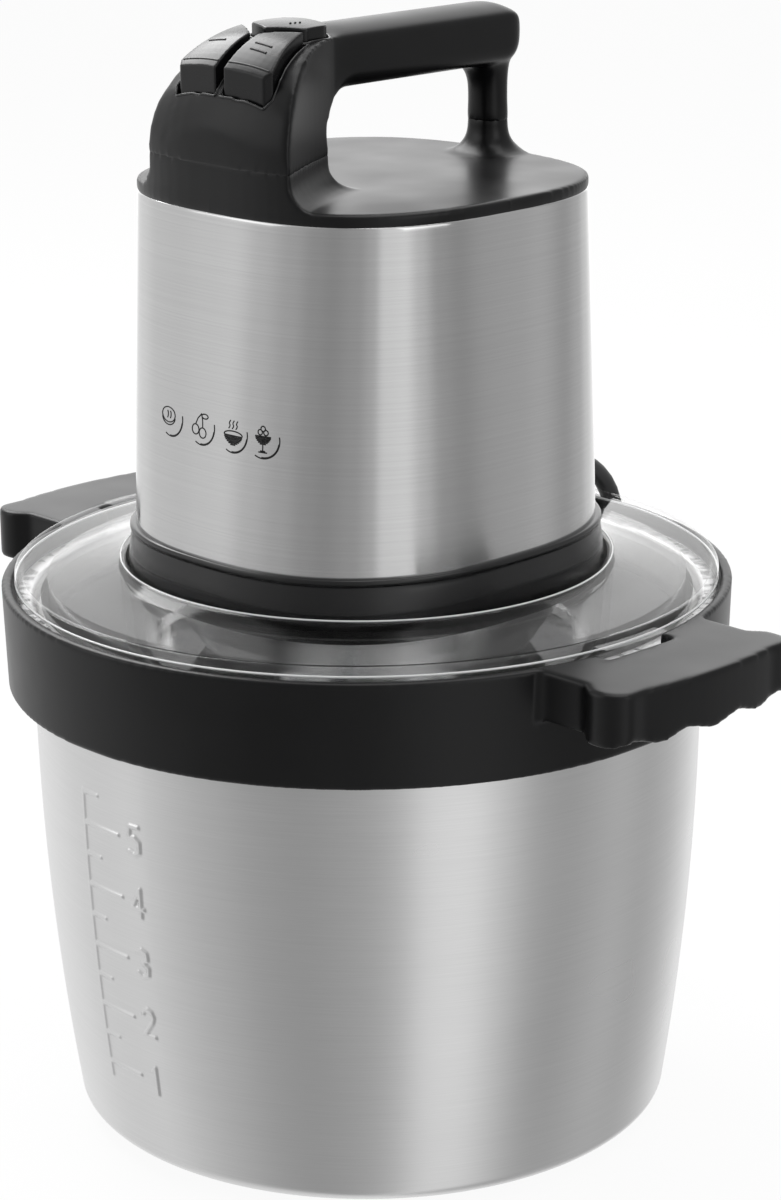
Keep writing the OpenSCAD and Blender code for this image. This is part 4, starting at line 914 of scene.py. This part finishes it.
def make_lid():
    """The clear lid turned finely, with its two lugs."""
    low, under, skirt_low = HEAD_Z - LID_T, LID_TOP - LID_T, RIM_Z - 14
    out, bush_r, corner = RECESS_R + LID_T, 10, 8
    profile = [(bush_r, low), (RECESS_R - corner, low)]
    profile += arc(out - corner - 2, low + corner, corner, corner, -80, -8, 12)
    profile += [(out, 196.5), (SKIRT_R - LID_T, under), (SKIRT_R - LID_T, skirt_low),
                (SKIRT_R, skirt_low), (SKIRT_R, RIM_Z), (LID_R - 0.5, RIM_Z), (LID_R, RIM_Z + 1)]
    # The raised rim, the slope up to the recess and the recess's rounded lip
    profile += arc(LID_R - 0.9, LID_TOP - 0.9, 0.9, 0.9, 0, 90, 5)
    profile += [(118.4, LID_TOP), (117.9, 195.9), (117.4, 195.5), (101, 197.4), (86, 199.2),
                (85.3, 199.6), (84.6, 199.95), (83.8, 199.95), (83, 199.75), (RECESS_R, 199.3)]
    profile += arc(RECESS_R - corner - 2, HEAD_Z + corner, corner, corner, -8, -90, 12)
    profile += [(bush_r, HEAD_Z)]
    parts = [turned(profile, 256)]
    for side in (-1, 1):
        verts = []
        for i in range(13):
            y = side * LUG_HALF * (i / 6 - 1)
            for r, z in ((120.2, 188.5), (126.3, 188.5), (126.3, 194), (125.8, 194.5), (120.2, 194.5)):
                verts.append((side * math.sqrt(r * r - y * y), y, z))
        parts.append((verts, ring_faces(13, 5)))
    return make_object("lid_clear", joined(parts), "clear_plastic", "lid_body", ("lid",), 40)


class CHOPPER_OT_bowl(bpy.types.Operator):
    """Makes the bowl, its collar and the clear lid"""

    bl_idname = "chopper.bowl"
    bl_label = "Make the bowl and lid"

    def execute(self, context):
        make_bowl()
        collar = softened("bowl_collar", "collar_moulding", 1.0, 8, "black_plastic", "bowl_body",
                          keep=0.55)
        true_round(collar)
        make_lid()
        # Painted highlights: thin near-white beads by the collar and round the lid's recess edge
        for name, radius, z, thick in (("lid_rim_highlight", LID_R - 0.3, COLLAR_TOP + 0.6, 0.4),
                                       ("lid_recess_highlight", 84.2, RECESS_TOP - 0.15, 0.32)):
            round_line = arc(0, 0, radius, radius, 0, 360, 240)[:-1]
            bead(name, [[(x, y, z) for x, y in round_line]], thick, "lid_edge_highlight", "lid_body", True)
        return {"FINISHED"}


# ---------------------------------------------------------------- motor head

def swept(profile, n=256):
    """A closed profile of (height, inset, height of the plan used) round the shell's plan."""
    verts = []
    for z, inset, at in profile:
        a, b, e = shell_size(z if at is None else at)
        verts += [(x, y, z) for x, y in squarish(a - inset, b - inset, e, n)]
    return verts, ring_faces(len(profile), n, True)


def make_sleeve():
    """The steel sleeve with a small rolled edge at its top."""
    low = SHELL_Z - 3
    profile = [(low, 0.1, low), (low + 3, 0.08, None), (SHELL_Z + 30, 0, None), (SHELL_Z + 60, 0, None),
               (SHELL_Z + 90, 0, None), (COVER_Z - 2, 0, None), (COVER_Z - 0.8, 0.02, None),
               (COVER_Z - 0.25, 0.15, None), (COVER_Z, 0.4, None), (COVER_Z - 0.25, 0.65, None),
               (COVER_Z - 0.8, 0.8, None), (SHELL_Z + 50, 0.8, None), (low, 0.9, low)]
    return make_object("shell_sleeve", swept(profile), "shell_steel", "motor_head",
                       ("motor_shell",), 50)


def make_base_ring():
    """The flared ring at the sleeve's foot, with a fine step under its lip."""
    height, bulge = SHELL_Z - BASE_Z, 2.6
    # Share of the height, and share of the bulge there
    face = [(0, 0.0), (0.02, 0.2), (0.06, 0.55), (0.12, 0.85), (0.2, 1.0), (0.32, 1.0), (0.5, 0.95),
            (0.64, 0.83), (0.75, 0.7), (0.83, 0.56), (0.87, 0.48), (0.885, 0.5), (0.9, 0.66),
            (0.93, 0.72), (0.97, 0.7), (0.99, 0.6), (1.0, 0.42)]
    profile = [(BASE_Z + height * h, -bulge * b, SHELL_Z) for h, b in face]
    profile += [(SHELL_Z, 0.05, SHELL_Z), (SHELL_Z - 3, 0.05, SHELL_Z), (SHELL_Z - 3, 3.3, SHELL_Z),
                (BASE_Z + 3, 3.3, SHELL_Z), (BASE_Z + 3, 42, SHELL_Z), (BASE_Z, 42, SHELL_Z)]
    return make_object("base_ring_moulding", swept(profile), "ring_gloss", "motor_head",
                       ("base_ring",), 40)


def arc(cx, cy, rx, ry, start, end, n=18):
    """Points of an elliptic arc, angles in degrees."""
    return [(cx + rx * math.cos(math.radians(start + (end - start) * i / n)),
             cy + ry * math.sin(math.radians(start + (end - start) * i / n))) for i in range(n + 1)]


def pictogram_strokes():
    """Four plain kitchen marks, as strokes in millimetres about their own centres."""
    crescent = [arc(0, 0, 6.2, 6.2, -118, 14), arc(0.15, -0.1, 5.8, 5.8, -95, -8)]
    loaf = [arc(-1.6, 0.8, 3.7, 2.5, 0, 360, 28), arc(-1.6, 0.1, 3.7, 2.7, 185, 355),
            arc(-2.6, 0.9, 0.8, 1.4, 60, -60, 6), arc(-1, 0.9, 0.8, 1.4, 60, -60, 6)]
    berries = [arc(-3.1, -1.4, 1.7, 1.7, 0, 360, 20), arc(0.4, -2.2, 1.7, 1.7, 0, 360, 20),
               [(-3.1, 0.3), (-2, 2.4), (-0.2, 4.1)], [(0.4, -0.5), (0.3, 1.8), (-0.2, 4.1)],
               arc(1.4, 3.4, 1.6, 0.8, 0, 360, 14)]
    dish = [[(-4 + 0.75 * k * k / 9, -0.6 - 0.5 * k), (4 - 0.75 * k * k / 9, -0.6 - 0.5 * k)]
            for k in range(7)]
    dish += [arc(0, -0.4, 4.1, 1.3, 0, 180)]
    dish += [[(x - 0.4, 1.6), (x + 0.3, 2.5), (x - 0.3, 3.4), (x + 0.4, 4.3)] for x in (-1.6, 0, 1.6)]
    cup = [[(-3 + 0.3 * k * k / 4, 1 - 0.5 * k), (3 - 0.3 * k * k / 4, 1 - 0.5 * k)] for k in range(6)]
    cup += [[(0, -1.6), (0, -3.8)], [(-1.6, -4.2), (1.6, -4.2)], [(-0.9, -3.8), (0.9, -3.8)],
            arc(-1.1, 2.3, 0.9, 0.9, 0, 360, 12), arc(1.1, 2.3, 0.9, 0.9, 0, 360, 12),
            arc(0, 3.5, 0.9, 0.9, 0, 360, 12)]
    return [(-16.9, crescent + loaf), (-0.9, crescent + berries), (13.9, crescent + dish),
            (26.3, crescent + cup)]


def make_pictograms():
    """The marks on the sleeve's front, as thin raised print."""
    middle, proud, line_r = 255.7, 0.08, 0.26
    paths = []
    for cx, strokes in pictogram_strokes():
        for line in strokes:
            row = [q for a, b in zip(line, line[1:]) for q in between(a, b, 0.5)[:-1]] + [line[-1]]
            paths.append([
                (cx + u, shell_front(cx + u, middle + v) + proud, middle + v) for u, v in row])
    bead("pictograms", paths, line_r, "black_plastic", "motor_head")


def even_hood(piece):
    """Smooths the handle's skin on, but neither near the seam nor near the button openings."""
    group = piece.vertex_groups.new(name="Skin")
    plans = [speed_plan(-1, 1.0), speed_plan(1, 1.0), pulse_plan(1.0)]
    rims = [(Vector(a), Vector(b)) for plan in plans for a, b in zip(plan, plan[1:] + plan[:1])]
    for v in piece.data.vertices:
        x, y, z = v.co / MM
        weight = min(1.0, max(0.0, (z - SEAM_Z - 2) / 4))
        # On the hood's top the skin keeps still at the openings, and almost still in the pockets
        if y < -18 and abs(x) < 28 and z > 352:
            spot = Vector((x, y))
            away = min((spot - near_on(spot, a, b)).length for a, b in rims)
            weight = min(weight, max(0.0, (away - 1.6) / 3))
            if abs(x) < 23 and -62 < y < -24:
                weight = min(weight, 0.15 if away > 2 else 0)
        if weight > 0:
            group.add([v.index], weight, "REPLACE")
    even = piece.modifiers.new("Even", "SMOOTH")
    even.factor = 0.5
    even.iterations = 60
    even.vertex_group = group.name
    bake(piece)


def near_on(spot, a, b):
    """The point of the line from a to b nearest to a spot."""
    d = b - a
    return a + d * min(1.0, max(0.0, (spot - a).dot(d) / d.dot(d)))


class CHOPPER_OT_motor_head(bpy.types.Operator):
    """Makes the sleeve, its rings, the cover and the handle"""

    bl_idname = "chopper.motor_head"
    bl_label = "Make the motor head"

    def execute(self, context):
        make_sleeve()
        make_pictograms()
        make_base_ring()
        softened("top_cover", "cover_moulding", 0.9, 5, "black_plastic", "motor_head", SEAM_Z)
        handle = softened("handle_shell", "handle_moulding", 0.62, 10, "black_plastic", "motor_head",
                          SEAM_Z)
        even_hood(handle)
        pan = copy_of("base_pan", "pan_pressing")
        dress(pan, "pan_steel", "motor_head", ("base_pan",), 30)
        return {"FINISHED"}


class CHOPPER_OT_buttons(bpy.types.Operator):
    """Makes the buttons, their marks and the beads round their openings"""

    bl_idname = "chopper.buttons"
    bl_label = "Make the buttons"

    def execute(self, context):
        sizes = context.scene.chopper_sizes
        caps = {}
        for node, body in (("button_one", "speed_one"), ("button_two", "speed_two"),
                           ("button_pulse", "pulse")):
            caps[node] = softened(node, node + "_cap", 0.42, 5, "button_plastic", body)
        lift, bar_r, dot_r, lip_r = sizes.mark_height / MM, 0.5, 0.6, 0.4
        # The rounding drops the rear cap's flange a little, so it goes back up off its ledge
        flange_low, flange_top = 372.8, 374.2
        for v in caps["button_pulse"].data.vertices:
            z = v.co.z / MM
            if flange_low < z < flange_top:
                v.co.z = (z + 0.25 * (flange_top - z)) * MM
        bars = {
            "button_one": [[(-15.9, -51.7), (-8.2, -51.7)]],
            "button_two": [[(6, -51.35), (13.4, -51.35)], [(6.6, -54.15), (13.8, -54.15)]],
        }
        for node, lines in bars.items():
            side = -1 if node == "button_one" else 1
            top = surface(caps[node])
            paths = [settle(top, between(a, b, 1.0), lift - bar_r) for a, b in lines]
            bead(node + "_mark", paths, bar_r, "button_plastic", caps[node]["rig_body"])
            lip = settle(top, between((2.6 * side, -59.9), (20.3 * side, -59.0), 1.0), -0.12)
            bead(node + "_lip", [lip], lip_r, "button_plastic", caps[node]["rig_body"])
        hood = surface(bpy.data.objects["handle_moulding"])
        edges = []
        for outline in (speed_plan(-1, 1.0), speed_plan(1, 1.0), pulse_plan(1.0)):
            closed = outline + [outline[0]]
            line = [p for a, b in zip(closed, closed[1:]) for p in between(a, b, 0.8)[:-1]]
            edges += runs(settle(hood, line + line[:1], 0.0))
        bead("pocket_bead", edges, sizes.rim_bead / MM, "ring_gloss", "motor_head")
        top = surface(caps["button_pulse"])
        dots = []
        for i in range(3):
            x, y = 4.4 + 0.65 * i, -35.1 + 1.5 * i
            dots.append(settle(top, [(x - 0.05, y), (x + 0.05, y)], lift - 0.55))
        bead("button_pulse_mark", dots, dot_r, "button_plastic", "pulse")
        return {"FINISHED"}


def surface(piece):
    """A search tree of a piece's skin, in metres."""
    form = bmesh.new()
    form.from_mesh(piece.data)
    tree = BVHTree.FromBMesh(form)
    form.free()
    return tree


def runs(points):
    """Splits a line where it drops into an opening, and leaves scraps out."""
    drop, gap, fewest, lowest = 1.3, 3, 5, 343
    out, now = [], []
    for p in points:
        if now and (abs(p[2] - now[-1][2]) > drop or math.dist(p, now[-1]) > gap):
            out.append(now)
            now = []
        now.append(p)
    out.append(now)
    return [line for line in out if len(line) > fewest and min(p[2] for p in line) > lowest]


def speed_plan(side, grow):
    """Outline of a speed button, on the left (side -1) or the right, grown outwards."""
    rows = [(2 - grow, -61.9 - grow), (20 + grow, -61.1 - grow), (21.9 + grow, -58.8 - grow),
            (18.6 + grow, -50.5), (14.6 + grow, -38.7 + grow), (2 - grow, -46.6 + grow)]
    return [(x * side, y) for x, y in rows]


def pulse_plan(grow):
    """Outline of the button behind them, grown outwards."""
    right = [(0, -42.2 - grow), (11.8 + 0.6 * grow, -37.3 - grow), (13 + grow, -35.8)]
    for i in range(7):
        a = math.radians(10 + 10 * i)
        right.append((7.9 + (5 + grow) * math.cos(a), -29.4 + (5 + grow) * math.sin(a)))
    right.append((0, -24.2 + grow))
    return right + [(-x, y) for x, y in reversed(right[1:-1])]


def between(a, b, step):
    """Points from a to b, one about every step."""
    n = max(1, round(math.dist(a, b) / step))
    return [(a[0] + (b[0] - a[0]) * i / n, a[1] + (b[1] - a[1]) * i / n) for i in range(n + 1)]


def settle(tree, points, lift):
    """Drops points (x, y) onto a skin from above and lifts them along its normal."""
    out = []
    for x, y in points:
        hit, normal, _, _ = tree.ray_cast(Vector((x * MM, y * MM, 0.5)), Vector((0, 0, -1)))
        if hit is None:
            continue
        out.append(tuple((hit / MM) + normal * lift))
    return out


# ---------------------------------------------------------------- inside and carried-over nodes

# Nodes whose solids are as fine as the real pieces, so they get only their finish
CARRIED = (
    "pivot_pin blade_hub hub_bush lower_blade blade_spacer upper_blade blade_nut lid_gasket "
    "lid_bush rotor_shaft rotor_core rotor_winding commutator cooling_fan planet_carrier "
    "planet_gear_1 planet_gear_2 planet_gear_3 gearbox_housing ring_gear output_bearing "
    "output_seal motor_frame lower_bearing stator_core stator_coils stator_screws upper_bracket "
    "upper_bearing brush_holders carbon_brushes gearbox_screws base_screws handle_screws "
    "control_board micro_switches button_carrier carrier_screws").split()
SLOTS = {row["node"]: row["material_slot"] for row in frame["record"]["subparts"]}


class CHOPPER_OT_inside(bpy.types.Operator):
    """Finishes the pieces inside and makes the button springs"""

    bl_idname = "chopper.inside"
    bl_label = "Finish the inside"

    def execute(self, context):
        for node in CARRIED:
            piece = copy_of(node, node + "_part")
            dress(piece, SLOTS[node], NODES[node]["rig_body"], (node,), 30)
        for node, joint in (("spring_one", "speed_one_press"), ("spring_two", "speed_two_press"),
                            ("spring_pulse", "pulse_press")):
            make_spring(node)
        return {"FINISHED"}


def make_spring(node):
    """One coil spring in its node's place."""
    low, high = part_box(node)
    wire = 0.35 * MM
    height = high.z - low.z
    piece = linked(node + "_coil", bpy.data.meshes.new(node + "_coil"))
    set_inputs(piece.modifiers.new("Spring", "NODES"), TREES["spring"], {
        "Turns": 6.0, "Radius": (high.x - low.x) / 2 - wire, "Height": height - 2 * wire,
        "Wire": wire, "Material": MATERIALS["screw_steel"]})
    bake(piece)
    piece.data.transform(Matrix.Translation(((low.x + high.x) / 2, (low.y + high.y) / 2, low.z + wire)))
    dress(piece, "screw_steel", "motor_head", (node,), 60)
    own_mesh(piece)


# ---------------------------------------------------------------- panel and running

class CHOPPER_PT_panel(bpy.types.Panel):
    """Lists the steps that dress the part"""

    bl_label = "Food chopper"
    bl_idname = "CHOPPER_PT_panel"
    bl_space_type = "VIEW_3D"
    bl_region_type = "UI"
    bl_category = "Chopper"

    def draw(self, context):
        for group in (context.scene.chopper_sizes, context.scene.chopper_colours):
            for name in group.__annotations__:
                self.layout.prop(group, name)
        for step in STEPS:
            self.layout.operator(step.bl_idname)


STEPS = (CHOPPER_OT_stage, CHOPPER_OT_cord, CHOPPER_OT_bowl, CHOPPER_OT_motor_head,
         CHOPPER_OT_buttons, CHOPPER_OT_inside)
CLASSES = (ChopperSizes, ChopperColours, *STEPS, CHOPPER_PT_panel)


def register():
    """Registers the add-on's classes and its two groups of settings."""
    for made in CLASSES:
        bpy.utils.register_class(made)
    bpy.types.Scene.chopper_sizes = PointerProperty(type=ChopperSizes)
    bpy.types.Scene.chopper_colours = PointerProperty(type=ChopperColours)


def unregister():
    """Takes away what register made."""
    del bpy.types.Scene.chopper_sizes
    del bpy.types.Scene.chopper_colours
    for made in reversed(CLASSES):
        bpy.utils.unregister_class(made)


def main():
    """Dresses the frame step by step."""
    register()
    make_materials()
    TREES.update(bead=bead_tree(), spring=spring_tree())
    for step in STEPS:
        group, name = step.bl_idname.split(".")
        getattr(getattr(bpy.ops, group), name)()


if __name__ == "__main__":
    main()
